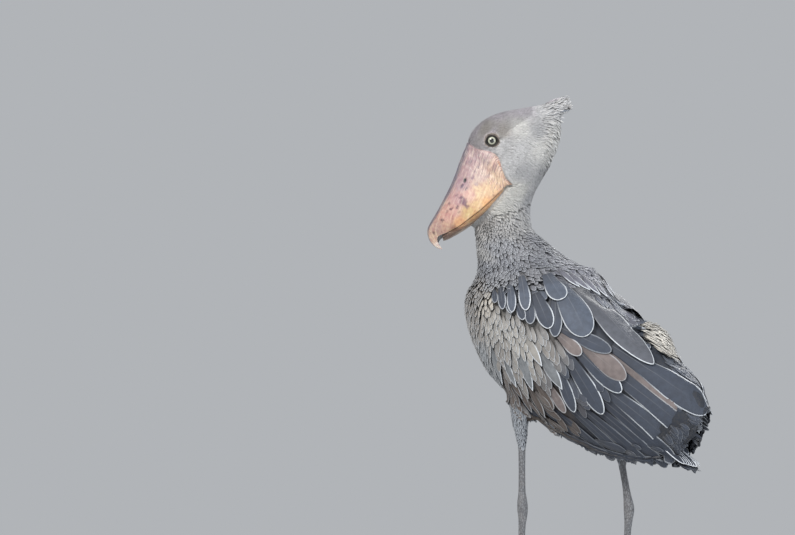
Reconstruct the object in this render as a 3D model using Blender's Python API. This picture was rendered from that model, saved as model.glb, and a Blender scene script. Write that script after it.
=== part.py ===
# Standing shoebill, life size: head, bill, neck, trunk, wings, tail, legs, toes and claws.
# Metres, +Z up. The bird faces -Y, its left side is +X, and its soles stand on z = 0.
import math

import bmesh
import bpy
import numpy as np
from mathutils import Matrix

# Driving dimensions of the pose
HEAD_TURN = math.radians(27.0)
HEAD_PIVOT_FORWARD = 0.153
GAP = 0.0003
SIDES = {"left": 1.0, "right": -1.0}
CREASE_ANGLE = math.radians(50.0)
CUTTER_GAP = 3.0 * GAP

# Fullness of the sections: 2 is an ellipse, more is squarer
HEAD_FULLNESS = 2.25
NECK_FULLNESS = 2.1
TRUNK_FULLNESS = 2.2
CREST_FULLNESS = 2.0

# How the bill's arch bends: powers of the sine across it and of the cosine over it
BILL_SIDE_POWER = 0.85
BILL_LIFT_POWER = 0.9
BILL_FLAT_SHARES = (0.5, 0.0, -0.5)

# Facet counts: rings along a shape, points round it
HEAD_GRID = (16, 22)
NECK_GRID = (8, 22)
TRUNK_GRID = (17, 22)
UPPER_BILL_GRID = (18, 12)
LOWER_BILL_GRID = (12, 8)
CREST_GRID = (6, 10)
WING_GRID = (25, 10)
TAIL_GRID = (9, 12)
THIGH_GRID = (8, 12)
SHANK_GRID = (16, 10)
TOE_SIDES = 8
CLAW_GRID = (5, 6)

# Head sections from the throat to the crown, in the head's own frame:
# front point (forward, z), back point (forward, z), half width
HEAD_SECTIONS = [
    (0.0798, 0.819, -0.0340, 0.860, 0.050),
    (0.0945, 0.848, -0.0430, 0.881, 0.053),
    (0.1113, 0.882, -0.0546, 0.905, 0.057),
    (0.1197, 0.916, -0.0672, 0.930, 0.060),
    (0.1197, 0.949, -0.0798, 0.958, 0.060),
    (0.1071, 0.979, -0.0903, 0.983, 0.056),
    (0.0998, 0.993, -0.0945, 1.004, 0.052),
    (0.0924, 1.010, -0.0966, 1.021, 0.047),
    (0.0777, 1.027, -0.0945, 1.037, 0.040),
    (0.0546, 1.042, -0.0903, 1.054, 0.031),
    (0.0252, 1.052, -0.0819, 1.065, 0.021),
    (-0.0105, 1.058, -0.0714, 1.069, 0.010),
]

# Upper corners of the bill's seat on the head, forehead and gape, as (forward, z)
FOREHEAD = (0.1008, 0.9828)
GAPE = (0.0126, 0.8930)
CHIN_CLEARANCE = 0.0020

# Upper bill from the forehead to the nail:
# ridge point (forward, z), cutting edge (forward, z), half width
UPPER_BILL_SECTIONS = [
    (0.1008, 0.9828, 0.0168, 0.8967, 0.050),
    (0.1124, 0.9534, 0.0315, 0.8820, 0.055),
    (0.1239, 0.9198, 0.0483, 0.8663, 0.058),
    (0.1376, 0.8883, 0.0693, 0.8474, 0.058),
    (0.1544, 0.8558, 0.0924, 0.8295, 0.052),
    (0.1691, 0.8295, 0.1176, 0.8106, 0.042),
    (0.1806, 0.8096, 0.1407, 0.7980, 0.029),
    (0.1827, 0.7970, 0.1600, 0.7900, 0.017),
    (0.1793, 0.7833, 0.1630, 0.7812, 0.011),
    (0.1722, 0.7718, 0.1600, 0.7728, 0.007),
    (0.1628, 0.7638, 0.1554, 0.7665, 0.004),
    (0.1543, 0.7617, 0.1530, 0.7635, 0.0012),
]

# Lower bill, sections matching the first ones of the upper bill: lower edge (forward, z), half width
LOWER_BILL_SECTIONS = [
    (0.0140, 0.8930, 0.046),
    (0.0273, 0.8736, 0.051),
    (0.0399, 0.8579, 0.054),
    (0.0588, 0.8379, 0.053),
    (0.0809, 0.8198, 0.047),
    (0.1072, 0.8012, 0.037),
    (0.1344, 0.7854, 0.023),
    (0.1500, 0.7790, 0.009),
]
LOWER_BILL_TIP_EDGE = (0.1535, 0.7905)

# Eyes
EYE_PLACE = (0.0485, 0.0355, 0.990)
EYE_RADIUS = 0.0130

# Crest tuft on the back of the crown: upper point (forward, z), lower point (forward, z), half width
CREST_SECTIONS = [
    (-0.0600, 1.0500, -0.0760, 1.0300, 0.010),
    (-0.0740, 1.0700, -0.0900, 1.0420, 0.015),
    (-0.0900, 1.0780, -0.1020, 1.0500, 0.011),
    (-0.1050, 1.0836, -0.1150, 1.0570, 0.005),
]

# Neck sections from the throat to the shoulders: front (forward, z), back (forward, z),
# half width, and the share of the head's turn that the section has
NECK_SECTIONS = [
    (0.0798, 0.8186, -0.0340, 0.8596, 0.050, 1.0),
    (0.1110, 0.7917, -0.0080, 0.8040, 0.052, 0.8),
    (0.1530, 0.7644, 0.0000, 0.7780, 0.060, 0.5),
    (0.1960, 0.7308, -0.0030, 0.7400, 0.075, 0.2),
    (0.2300, 0.6962, -0.0236, 0.7168, 0.096, 0.0),
]

# Trunk sections from the shoulders to the rump: breast side (forward, z), back side (forward, z), half width
TRUNK_SECTIONS = [
    (0.234, 0.695, -0.025, 0.716, 0.098),
    (0.250, 0.680, -0.045, 0.693, 0.115),
    (0.258, 0.651, -0.070, 0.657, 0.128),
    (0.254, 0.609, -0.097, 0.621, 0.133),
    (0.234, 0.554, -0.127, 0.578, 0.129),
    (0.204, 0.500, -0.154, 0.545, 0.121),
    (0.150, 0.453, -0.173, 0.510, 0.108),
    (0.070, 0.408, -0.184, 0.475, 0.089),
    (-0.025, 0.375, -0.192, 0.440, 0.065),
    (-0.106, 0.360, -0.198, 0.407, 0.040),
]

# Outer faces of the folded wings, from the shoulders to the tips: belly side (forward, z),
# back side (forward, z), half width, where the wing starts below and ends above
# (degrees round from the breast), thickness
WING_SECTIONS = [
    (0.252, 0.685, -0.040, 0.697, 0.112, 78.0, 128.0, 0.010),
    (0.264, 0.651, -0.082, 0.656, 0.140, 62.0, 150.0, 0.020),
    (0.259, 0.609, -0.115, 0.622, 0.150, 52.0, 163.0, 0.024),
    (0.240, 0.554, -0.148, 0.584, 0.149, 44.0, 172.0, 0.024),
    (0.210, 0.498, -0.180, 0.556, 0.143, 37.0, 177.0, 0.022),
    (0.158, 0.443, -0.205, 0.535, 0.131, 32.0, 178.0, 0.019),
    (0.080, 0.384, -0.236, 0.517, 0.112, 31.0, 178.0, 0.016),
    (-0.012, 0.334, -0.259, 0.500, 0.092, 33.0, 178.0, 0.012),
    (-0.106, 0.307, -0.278, 0.481, 0.073, 36.0, 178.0, 0.009),
    (-0.185, 0.302, -0.290, 0.460, 0.054, 38.0, 178.0, 0.007),
    (-0.240, 0.326, -0.296, 0.443, 0.042, 45.0, 178.0, 0.005),
    (-0.280, 0.368, -0.299, 0.425, 0.026, 50.0, 178.0, 0.004),
]
WING_REACH = {"left": 1.0, "right": 0.94}
WING_MIDLINE = 0.0009
WING_EDGE_THICKNESS = 0.0015
WING_TIP_COUNT = 3
WING_TIP_DEPTH = 0.040
WING_EDGE_COUNT = 5
WING_EDGE_DEPTH = 0.045
WING_FINE_ROWS = 96
WING_LEAST_HALF_WIDTH = 0.002
WING_EDGE_FULLNESS = 0.25

# Layers of scapulars and coverts on the wing: share of its breadth, share of its length, height
WING_TIERS = [(0.40, 0.62, 0.005), (0.70, 0.50, 0.004)]
WING_TIER_RUN_OUT = 0.05

# Down on the rump, between the wings: middle (forward, z), slope, radii along, across and up
RUMP_MIDDLE = (-0.176, 0.5735)
RUMP_SLOPE = math.radians(42.0)
RUMP_RADII = (0.042, 0.028, 0.018)
RUMP_FACETS = (12, 7)
EYE_FACETS = (12, 8)

# Tail: centre line (forward, z), half width, half thickness
TAIL_SECTIONS = [
    (-0.150, 0.3950, 0.020, 0.0060),
    (-0.190, 0.3560, 0.025, 0.0050),
    (-0.228, 0.3260, 0.032, 0.0040),
    (-0.250, 0.3120, 0.037, 0.0035),
    (-0.262, 0.3055, 0.030, 0.0030),
    (-0.269, 0.3020, 0.014, 0.0025),
    (-0.272, 0.3000, 0.004, 0.0020),
]
TAIL_DROOP = 0.10

# Legs: feathered thigh and bare shank, as (x, forward, z, half width across, half width fore and aft)
THIGHS = {
    "left": [
        (0.050, 0.0940, 0.480, 0.034, 0.042),
        (0.053, 0.1050, 0.445, 0.026, 0.030),
        (0.055, 0.1130, 0.405, 0.0180, 0.0195),
        (0.055, 0.1098, 0.370, 0.0120, 0.0135),
        (0.055, 0.1087, 0.352, 0.0095, 0.0102),
    ],
    "right": [
        (-0.038, -0.0150, 0.450, 0.030, 0.036),
        (-0.042, -0.0400, 0.415, 0.023, 0.027),
        (-0.045, -0.0560, 0.380, 0.0160, 0.0180),
        (-0.045, -0.0690, 0.343, 0.0112, 0.0126),
        (-0.045, -0.0745, 0.318, 0.0095, 0.0102),
    ],
}
SHANKS = {
    "left": [
        (0.055, 0.1087, 0.3516, 0.0088, 0.0094),
        (0.055, 0.1087, 0.2700, 0.0080, 0.0086),
        (0.055, 0.1080, 0.2400, 0.0095, 0.0110),
        (0.055, 0.1070, 0.2200, 0.0115, 0.0135),
        (0.055, 0.1070, 0.2000, 0.0100, 0.0110),
        (0.055, 0.1090, 0.1700, 0.0080, 0.0088),
        (0.055, 0.1115, 0.1000, 0.0078, 0.0088),
        (0.055, 0.1135, 0.0500, 0.0090, 0.0100),
        (0.055, 0.1145, 0.0250, 0.0125, 0.0125),
        (0.055, 0.1145, 0.0080, 0.0130, 0.0130),
        (0.055, 0.1145, 0.0010, 0.0100, 0.0100),
    ],
    "right": [
        (-0.045, -0.0745, 0.3176, 0.0088, 0.0094),
        (-0.045, -0.0850, 0.2650, 0.0080, 0.0086),
        (-0.045, -0.0900, 0.2380, 0.0095, 0.0110),
        (-0.045, -0.0925, 0.2180, 0.0115, 0.0135),
        (-0.045, -0.0920, 0.1980, 0.0100, 0.0110),
        (-0.045, -0.0895, 0.1700, 0.0080, 0.0088),
        (-0.045, -0.0845, 0.1000, 0.0078, 0.0088),
        (-0.045, -0.0815, 0.0500, 0.0090, 0.0100),
        (-0.045, -0.0805, 0.0250, 0.0125, 0.0125),
        (-0.045, -0.0805, 0.0080, 0.0130, 0.0130),
        (-0.045, -0.0805, 0.0010, 0.0100, 0.0100),
    ],
}

# Feet: place of each foot's middle (x, forward), and its toes: angle off straight ahead
# away from the midline (degrees), length, joints, half angle that is free at the root (degrees)
FOOT_PLACES = {"left": (0.055, 0.1145), "right": (-0.045, -0.0805)}
TOES = {
    "inner": (-27.0, 0.128, 2, 14.0),
    "middle": (1.0, 0.168, 3, 13.5),
    "outer": (30.0, 0.142, 4, 15.0),
    "hind": (172.0, 0.088, 1, 40.0),
}
TOE_ROOT_RADIUS = 0.0134
TOE_HALF_WIDTH = 0.0085
TOE_TIP_HALF_WIDTH = 0.0052
TOE_ROOT_HEIGHT = 0.024
TOE_TIP_HEIGHT = 0.0105
TOE_PLAIN_RINGS = 5
TOE_JOINT_SWELL = 0.13
TOE_DROP_POWER = 0.45
TOE_MIDDLE_SHARE = 0.5
TOE_ROUND_SHARE = 0.62
TOE_END_NARROWING = (0.8, 0.9)
CLAW_LENGTH = 0.024
CLAW_RADIUS = 0.0042
CLAW_FLATNESS = 0.85
CLAW_TAPER = (0.86, 1.3)
CLAW_ROOT_HEIGHT = 0.0052
CLAW_ARCH = 0.0018
CLAW_TIP_DROP = 0.0040
CLAW_FLOOR_CLEARANCE = 0.0004

# Colours of the parts: red, green, blue, roughness
COLOURS = {
    "plumage_head": (0.38, 0.38, 0.40, 0.85),
    "plumage_neck": (0.26, 0.27, 0.30, 0.85),
    "plumage_breast": (0.34, 0.32, 0.29, 0.85),
    "plumage_wing": (0.09, 0.11, 0.14, 0.75),
    "bill_upper": (0.66, 0.48, 0.34, 0.45),
    "bill_lower": (0.62, 0.40, 0.18, 0.45),
    "eye": (0.40, 0.44, 0.38, 0.12),
    "leg": (0.20, 0.21, 0.23, 0.65),
    "claw": (0.05, 0.05, 0.06, 0.45),
}


def clear_scene():
    for item in list(bpy.data.objects):
        bpy.data.objects.remove(item)


def material(name):
    red, green, blue, roughness = COLOURS[name]
    made = bpy.data.materials.get(name) or bpy.data.materials.new(name)
    made.use_nodes = True
    shader = made.node_tree.nodes["Principled BSDF"]
    shader.inputs["Base Color"].default_value = (red, green, blue, 1.0)
    shader.inputs["Roughness"].default_value = roughness
    shader.inputs["Metallic"].default_value = 0.0
    return made


def smooth_rows(rows, count):
    """Rows of a smooth curve that passes through the given rows."""
    table = np.array(rows, dtype=float)
    last = len(table) - 1
    result = []
    for place in np.linspace(0.0, last, count):
        index = min(int(place), last - 1)
        t = place - index
        before = table[max(index - 1, 0)]
        start = table[index]
        end = table[index + 1]
        after = table[min(index + 2, last)]
        bend = 2.0 * before - 5.0 * start + 4.0 * end - after
        twist = 3.0 * start - before - 3.0 * end + after
        result.append(0.5 * (2.0 * start + (end - before) * t + bend * t ** 2 + twist * t ** 3))
    return result


def signed_power(value, power):
    return math.copysign(abs(value) ** power, value)


def section_point(front, back, half_width, fullness, angle):
    """Point (forward, side, z) of an oval section, at an angle round from its front point."""
    along = signed_power(math.cos(angle), 2.0 / fullness)
    side = signed_power(math.sin(angle), 2.0 / fullness)
    forward = 0.5 * (front[0] + back[0]) + 0.5 * (front[0] - back[0]) * along
    height = 0.5 * (front[1] + back[1]) + 0.5 * (front[1] - back[1]) * along
    return (forward, half_width * side, height)


def round_section(front, back, half_width, fullness, count):
    """Closed ring of (forward, side, z) through a front and a back point."""
    turns = [2.0 * math.pi * step / count for step in range(count)]
    return [section_point(front, back, half_width, fullness, turn) for turn in turns]


def place_point(point, turn_share):
    """World place of a (forward, side, z) point in a frame turned by a share of the head's turn."""
    forward, side, height = point
    turn = HEAD_TURN * turn_share
    x = forward * math.sin(turn) + side * math.cos(turn)
    y = -HEAD_PIVOT_FORWARD * turn_share - forward * math.cos(turn) + side * math.sin(turn)
    return (x, y, height)


def finish_object(name, shape, colour):
    bmesh.ops.recalc_face_normals(shape, faces=shape.faces)
    mesh = bpy.data.meshes.new(name)
    shape.to_mesh(mesh)
    shape.free()
    mesh.materials.append(material(colour))
    mesh.shade_smooth()
    mesh.set_sharp_from_angle(angle=CREASE_ANGLE)
    made = bpy.data.objects.new(name, mesh)
    bpy.context.scene.collection.objects.link(made)
    return made


def loft(name, rings, colour):
    """Closed solid through rings of equal point counts, with flat ends."""
    shape = bmesh.new()
    loops = [[shape.verts.new(point) for point in ring] for ring in rings]
    for here, there in zip(loops, loops[1:]):
        count = len(here)
        for step in range(count):
            after = (step + 1) % count
            shape.faces.new((here[step], here[after], there[after], there[step]))
    shape.faces.new(loops[0])
    shape.faces.new(list(reversed(loops[-1])))
    return finish_object(name, shape, colour)


def grown_copy(source, distance):
    """Hidden cutter: the object's shape, larger by the distance on every side."""
    shape = bmesh.new()
    shape.from_mesh(source.data)
    shape.normal_update()
    moves = [(vertex, vertex.normal * distance) for vertex in shape.verts]
    for vertex, move in moves:
        vertex.co += move
    cutter = finish_object(source.name + "_cutter", shape, "leg")
    cutter.hide_render = True
    cutter.display_type = "WIRE"
    return cutter


def cut(target, cutter):
    modifier = target.modifiers.new("fit_" + cutter.name, "BOOLEAN")
    modifier.operation = "DIFFERENCE"
    modifier.solver = "EXACT"
    modifier.object = cutter


def seat_limit(height):
    """How far forward the head reaches at a height, where the bill sits on it."""
    if height >= FOREHEAD[1]:
        return 1.0
    if height >= GAPE[1]:
        share = (height - GAPE[1]) / (FOREHEAD[1] - GAPE[1])
        return GAPE[0] + share * (FOREHEAD[0] - GAPE[0]) - 2.0 * GAP
    edge = [(row[1], row[0]) for row in LOWER_BILL_SECTIONS]
    for above, below in zip(edge, edge[1:]):
        if height >= below[0]:
            share = (above[0] - height) / (above[0] - below[0])
            return above[1] + share * (below[1] - above[1]) - CHIN_CLEARANCE
    return 1.0


def build_head():
    rings = []
    for row in smooth_rows(HEAD_SECTIONS, HEAD_GRID[0]):
        front, back, half_width = (row[0], row[1]), (row[2], row[3]), row[4]
        ring = round_section(front, back, half_width, HEAD_FULLNESS, HEAD_GRID[1])
        seated = [(min(forward, seat_limit(height)), side, height) for forward, side, height in ring]
        rings.append([place_point(point, 1.0) for point in seated])
    return loft("head", rings, "plumage_head")


def build_neck():
    rings = []
    for row in smooth_rows(NECK_SECTIONS, NECK_GRID[0]):
        ring = round_section((row[0], row[1]), (row[2], row[3]), row[4], NECK_FULLNESS, NECK_GRID[1])
        rings.append([place_point(point, row[5]) for point in ring])
    return loft("neck", rings, "plumage_neck")


def build_trunk():
    rings = []
    for row in smooth_rows(TRUNK_SECTIONS, TRUNK_GRID[0]):
        ring = round_section((row[0], row[1]), (row[2], row[3]), row[4], TRUNK_FULLNESS, TRUNK_GRID[1])
        rings.append([place_point(point, 0.0) for point in ring])
    return loft("trunk", rings, "plumage_breast")


def arch_ring(ridge, edge, half_width, arch_count):
    """Ring of a bill half: an arch over the ridge and a flat face between the two cutting edges."""
    points = []
    for step in range(arch_count + 1):
        angle = math.pi * step / arch_count - 0.5 * math.pi
        side = half_width * signed_power(math.sin(angle), BILL_SIDE_POWER)
        lift = max(math.cos(angle), 0.0) ** BILL_LIFT_POWER
        forward = edge[0] + (ridge[0] - edge[0]) * lift
        height = edge[1] + (ridge[1] - edge[1]) * lift
        points.append((forward, side, height))
    for share in BILL_FLAT_SHARES:
        points.append((edge[0], half_width * share, edge[1]))
    return points


def build_upper_bill():
    rings = []
    for row in smooth_rows(UPPER_BILL_SECTIONS, UPPER_BILL_GRID[0]):
        ring = arch_ring((row[0], row[1]), (row[2], row[3]), row[4], UPPER_BILL_GRID[1])
        rings.append([place_point(point, 1.0) for point in ring])
    return loft("bill_upper", rings, "bill_upper")


def build_lower_bill():
    count = len(LOWER_BILL_SECTIONS)
    rows = []
    for upper, lower in zip(UPPER_BILL_SECTIONS[:count], LOWER_BILL_SECTIONS):
        rows.append([lower[0], lower[1], upper[2], upper[3], lower[2]])
    rows[-1][2:4] = LOWER_BILL_TIP_EDGE
    rings = []
    for row in smooth_rows(rows, LOWER_BILL_GRID[0]):
        edge = (row[2] - 1.5 * GAP, row[3] - 2.5 * GAP)
        ring = arch_ring((row[0], row[1]), edge, row[4], LOWER_BILL_GRID[1])
        rings.append([place_point(point, 1.0) for point in ring])
    return loft("bill_lower", rings, "bill_lower")


def build_eye(side_name):
    shape = bmesh.new()
    around, down = EYE_FACETS
    bmesh.ops.create_uvsphere(shape, u_segments=around, v_segments=down, radius=EYE_RADIUS)
    place = place_point((EYE_PLACE[0], EYE_PLACE[1] * SIDES[side_name], EYE_PLACE[2]), 1.0)
    bmesh.ops.translate(shape, vec=place, verts=shape.verts)
    return finish_object("eye_" + side_name, shape, "eye")


def build_crest():
    rings = []
    for row in smooth_rows(CREST_SECTIONS, CREST_GRID[0]):
        ring = round_section((row[0], row[1]), (row[2], row[3]), row[4], CREST_FULLNESS, CREST_GRID[1])
        rings.append([place_point(point, 1.0) for point in ring])
    return loft("crest", rings, "plumage_head")


def wing_tip_share(t):
    """Share of the wing's length left at a place across it, so that feather tips step out."""
    phase = (t * WING_TIP_COUNT) % 1.0
    return 1.0 - WING_TIP_DEPTH * (2.0 * phase - 1.0) ** 2


def wing_edge_share(s):
    """Share of the wing's breadth left at a place along it, so that its lower edge is scalloped."""
    phase = (s * WING_EDGE_COUNT) % 1.0
    return 1.0 - WING_EDGE_DEPTH * s * (2.0 * phase - 1.0) ** 2


def tier_lift(s, t):
    """How far the layers of scapulars and coverts lift the outer face."""
    lift = 0.0
    for breadth, length, height in WING_TIERS:
        inside = min(breadth - t, length - s) / WING_TIER_RUN_OUT
        lift += height * min(max(inside, 0.0), 1.0)
    return lift


def build_wing(side_name):
    side = SIDES[side_name]
    along_count, across_count = WING_GRID
    fine = smooth_rows(WING_SECTIONS, WING_FINE_ROWS)

    def row_at(s):
        place = s * (len(fine) - 1)
        index = min(int(place), len(fine) - 2)
        return fine[index] + (fine[index + 1] - fine[index]) * (place - index)

    def wing_point(i, j, inner):
        t = j / across_count
        s = i / along_count * wing_tip_share(t) * WING_REACH[side_name]
        row = row_at(s)
        t *= wing_edge_share(s)
        angle = math.radians(row[6] + (row[5] - row[6]) * t)
        front, back = np.array(row[0:2]), np.array(row[2:4])
        reach = (back - front) / np.linalg.norm(back - front)
        swell = math.sin(math.pi * min(t, 1.0)) ** 0.5 if 0.0 < t < 1.0 else 0.0
        sink = -tier_lift(s, t)
        if inner:
            sink += WING_EDGE_THICKNESS + row[7] * (WING_EDGE_FULLNESS + (1.0 - WING_EDGE_FULLNESS) * swell)
        half_width = max(row[4] - sink, WING_LEAST_HALF_WIDTH)
        point = section_point(front + reach * sink, back - reach * sink, half_width, TRUNK_FULLNESS, angle)
        x, y, z = place_point(point, 0.0)
        return (side * max(x, WING_MIDLINE), y, z)

    rings = []
    for i in range(along_count + 1):
        outer = [wing_point(i, j, False) for j in range(across_count + 1)]
        inner = [wing_point(i, j, True) for j in range(across_count, -1, -1)]
        rings.append(outer + inner)
    return loft("wing_" + side_name, rings, "plumage_wing")


def build_rump():
    shape = bmesh.new()
    around, down = RUMP_FACETS
    bmesh.ops.create_uvsphere(shape, u_segments=around, v_segments=down, radius=1.0)
    bmesh.ops.scale(shape, vec=(RUMP_RADII[1], RUMP_RADII[0], RUMP_RADII[2]), verts=shape.verts)
    bmesh.ops.rotate(shape, matrix=Matrix.Rotation(-RUMP_SLOPE, 3, "X"), verts=shape.verts)
    bmesh.ops.translate(shape, vec=(0.0, -RUMP_MIDDLE[0], RUMP_MIDDLE[1]), verts=shape.verts)
    return finish_object("rump", shape, "plumage_breast")


def build_tail():
    rows = smooth_rows(TAIL_SECTIONS, TAIL_GRID[0])
    rings = []
    for index, row in enumerate(rows):
        ahead = rows[min(index + 1, len(rows) - 1)]
        behind = rows[max(index - 1, 0)]
        run = np.array((ahead[0] - behind[0], ahead[1] - behind[1]))
        run /= np.linalg.norm(run)
        ring = []
        for step in range(TAIL_GRID[1]):
            angle = 2.0 * math.pi * step / TAIL_GRID[1]
            side = row[2] * math.cos(angle)
            rise = row[3] * math.sin(angle) - TAIL_DROOP * row[2] * math.cos(angle) ** 2
            ring.append(place_point((row[0] + run[1] * rise, side, row[1] - run[0] * rise), 0.0))
        rings.append(ring)
    return loft("tail", rings, "plumage_wing")


def build_limb(name, rows, grid, colour):
    rings = []
    points = grid[1]
    for row in smooth_rows(rows, grid[0]):
        x, forward, height, across, deep = row
        ring = []
        for step in range(points):
            angle = 2.0 * math.pi * step / points
            ring.append((x + across * math.cos(angle), -forward + deep * math.sin(angle), height))
        rings.append(ring)
    return loft(name, rings, colour)


def toe_frame(side_name, toe_name):
    """Middle of the foot, the way the toe points, and the way across it, on the floor."""
    angle = math.radians(TOES[toe_name][0])
    side = SIDES[side_name]
    heading = np.array((side * math.sin(angle), -math.cos(angle)))
    across = np.array((-heading[1], heading[0]))
    middle = np.array((FOOT_PLACES[side_name][0], -FOOT_PLACES[side_name][1]))
    return middle, heading, across


def build_toe(side_name, toe_name):
    middle, heading, across = toe_frame(side_name, toe_name)
    length, joints, free_degrees = TOES[toe_name][1:]
    free_slope = math.tan(math.radians(free_degrees))
    rings = []
    ring_count = TOE_PLAIN_RINGS + 2 * joints
    for index in range(ring_count):
        share = index / (ring_count - 1)
        reach = TOE_ROOT_RADIUS + (length - TOE_ROOT_RADIUS) * share
        swell = 1.0 + TOE_JOINT_SWELL * math.cos(2.0 * math.pi * share * (joints + 0.5))
        width = (TOE_HALF_WIDTH + (TOE_TIP_HALF_WIDTH - TOE_HALF_WIDTH) * share) * swell
        width = min(width, reach * free_slope - GAP)
        top = TOE_ROOT_HEIGHT + (TOE_TIP_HEIGHT - TOE_ROOT_HEIGHT) * share ** TOE_DROP_POWER
        if index == ring_count - 1:
            width *= TOE_END_NARROWING[0]
            top *= TOE_END_NARROWING[1]
        ring = []
        for step in range(TOE_SIDES):
            turn = 2.0 * math.pi * (step + 0.5) / TOE_SIDES
            place = middle + heading * reach + across * width * math.cos(turn)
            height = top * (TOE_MIDDLE_SHARE + TOE_ROUND_SHARE * math.sin(turn))
            ring.append((place[0], place[1], min(max(height, 0.0), top)))
        rings.append(ring)
    return loft("toe_%s_%s" % (side_name, toe_name), rings, "leg")


def build_claw(side_name, toe_name):
    middle, heading, across = toe_frame(side_name, toe_name)
    rings = []
    for index in range(CLAW_GRID[0]):
        share = index / (CLAW_GRID[0] - 1)
        reach = TOES[toe_name][1] + GAP + CLAW_LENGTH * share
        radius = CLAW_RADIUS * (1.0 - CLAW_TAPER[0] * share ** CLAW_TAPER[1])
        rise = CLAW_ROOT_HEIGHT + CLAW_ARCH * math.sin(math.pi * share) - CLAW_TIP_DROP * share ** 2
        ring = []
        for step in range(CLAW_GRID[1]):
            turn = 2.0 * math.pi * (step + 0.5) / CLAW_GRID[1]
            place = middle + heading * reach + across * radius * CLAW_FLATNESS * math.cos(turn)
            height = max(rise + radius * math.sin(turn), CLAW_FLOOR_CLEARANCE)
            ring.append((place[0], place[1], height))
        rings.append(ring)
    return loft("claw_%s_%s" % (side_name, toe_name), rings, "claw")


def centre_on_floor():
    """Moves every shape so that the middle of the footprint's box is at the origin."""
    shapes = [item for item in bpy.data.objects if item.type == "MESH"]
    points = [vertex.co for item in shapes if not item.hide_render for vertex in item.data.vertices]
    middle_x = 0.5 * (min(point.x for point in points) + max(point.x for point in points))
    middle_y = 0.5 * (min(point.y for point in points) + max(point.y for point in points))
    lowest = min(point.z for point in points)
    shift = Matrix.Translation((-middle_x, -middle_y, -lowest))
    for item in shapes:
        item.data.transform(shift)


def main():
    clear_scene()
    head = build_head()
    build_neck()
    trunk = build_trunk()
    cut(head, grown_copy(build_upper_bill(), GAP))
    cut(head, grown_copy(build_lower_bill(), GAP))
    crest = build_crest()
    cut(crest, grown_copy(head, GAP))
    trunk_cutter = grown_copy(trunk, CUTTER_GAP)
    rump = build_rump()
    tail = build_tail()
    cut(rump, trunk_cutter)
    cut(tail, trunk_cutter)
    for side_name in SIDES:
        cut(head, grown_copy(build_eye(side_name), GAP))
        thigh = build_limb("thigh_" + side_name, THIGHS[side_name], THIGH_GRID, "plumage_neck")
        wing = build_wing(side_name)
        wing_cutter = grown_copy(wing, CUTTER_GAP)
        cut(rump, wing_cutter)
        cut(tail, wing_cutter)
        cut(wing, grown_copy(thigh, GAP))
        cut(wing, trunk_cutter)
        cut(thigh, trunk_cutter)
        build_limb("shank_" + side_name, SHANKS[side_name], SHANK_GRID, "leg")
        for toe_name in TOES:
            build_toe(side_name, toe_name)
            build_claw(side_name, toe_name)
    centre_on_floor()


main()
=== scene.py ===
# Looks of a standing shoebill, life size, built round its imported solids.
# Metres, +Z up. The bird faces -Y and its left side is +X.
import math

import bmesh
import bpy
import numpy as np
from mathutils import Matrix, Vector, noise
from mathutils.bvhtree import BVHTree
from mathutils.kdtree import KDTree


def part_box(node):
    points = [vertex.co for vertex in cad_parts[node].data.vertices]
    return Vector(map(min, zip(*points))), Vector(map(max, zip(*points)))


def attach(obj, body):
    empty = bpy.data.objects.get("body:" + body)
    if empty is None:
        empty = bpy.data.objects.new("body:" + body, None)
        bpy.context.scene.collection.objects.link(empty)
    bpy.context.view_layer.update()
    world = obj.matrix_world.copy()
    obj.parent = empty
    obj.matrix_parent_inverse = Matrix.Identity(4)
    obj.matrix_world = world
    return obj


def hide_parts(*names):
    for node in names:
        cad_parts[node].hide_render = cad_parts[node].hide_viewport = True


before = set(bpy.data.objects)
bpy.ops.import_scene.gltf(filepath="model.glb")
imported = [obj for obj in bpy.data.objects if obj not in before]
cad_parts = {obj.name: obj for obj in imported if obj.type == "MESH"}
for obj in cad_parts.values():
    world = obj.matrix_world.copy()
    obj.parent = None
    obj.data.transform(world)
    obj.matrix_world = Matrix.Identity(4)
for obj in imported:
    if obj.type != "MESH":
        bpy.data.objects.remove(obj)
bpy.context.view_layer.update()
rng = np.random.default_rng(11)
MM = 0.001

# The photograph's view: scale, the column of the body's origin, the row of the floor
PHOTO_WIDTH = 795.0
PHOTO_HEIGHT = 535.0
METRES_PER_PIXEL = 0.0021
ORIGIN_COLUMN = 580.0
FLOOR_ROW = 612.0
VIEW_TURN = math.radians(27.0)
CAMERA_DISTANCE = 24.0
SENSOR_WIDTH = 36.0

# The head is turned to the bird's left about a pivot; the turn fades out down the neck
HEAD_TURN = math.radians(27.0)
HEAD_PIVOT_FORWARD = 0.153
TURN_START_HEIGHT = 0.700
TURN_END_HEIGHT = 0.820
EYE_FORWARD = 0.0485

VIEW_RIGHT = np.array((-math.sin(VIEW_TURN), math.cos(VIEW_TURN), 0.0))
VIEW_BACK = np.array((math.cos(VIEW_TURN), math.sin(VIEW_TURN), 0.0))
UP = np.array((0.0, 0.0, 1.0))


def box_middle(node):
    low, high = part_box(node)
    return 0.5 * (np.array(low) + np.array(high))


LEFT_EYE = box_middle("eye_left")
RIGHT_EYE = box_middle("eye_right")
EYE_MIDDLE = 0.5 * (LEFT_EYE + RIGHT_EYE)
CENTRING = EYE_MIDDLE - np.array((
    EYE_FORWARD * math.sin(HEAD_TURN),
    -HEAD_PIVOT_FORWARD - EYE_FORWARD * math.cos(HEAD_TURN),
    EYE_MIDDLE[2],
))


def smooth_step(low, high, value):
    share = np.clip((value - low) / (high - low), 0.0, 1.0)
    return share * share * (3.0 - 2.0 * share)


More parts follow.
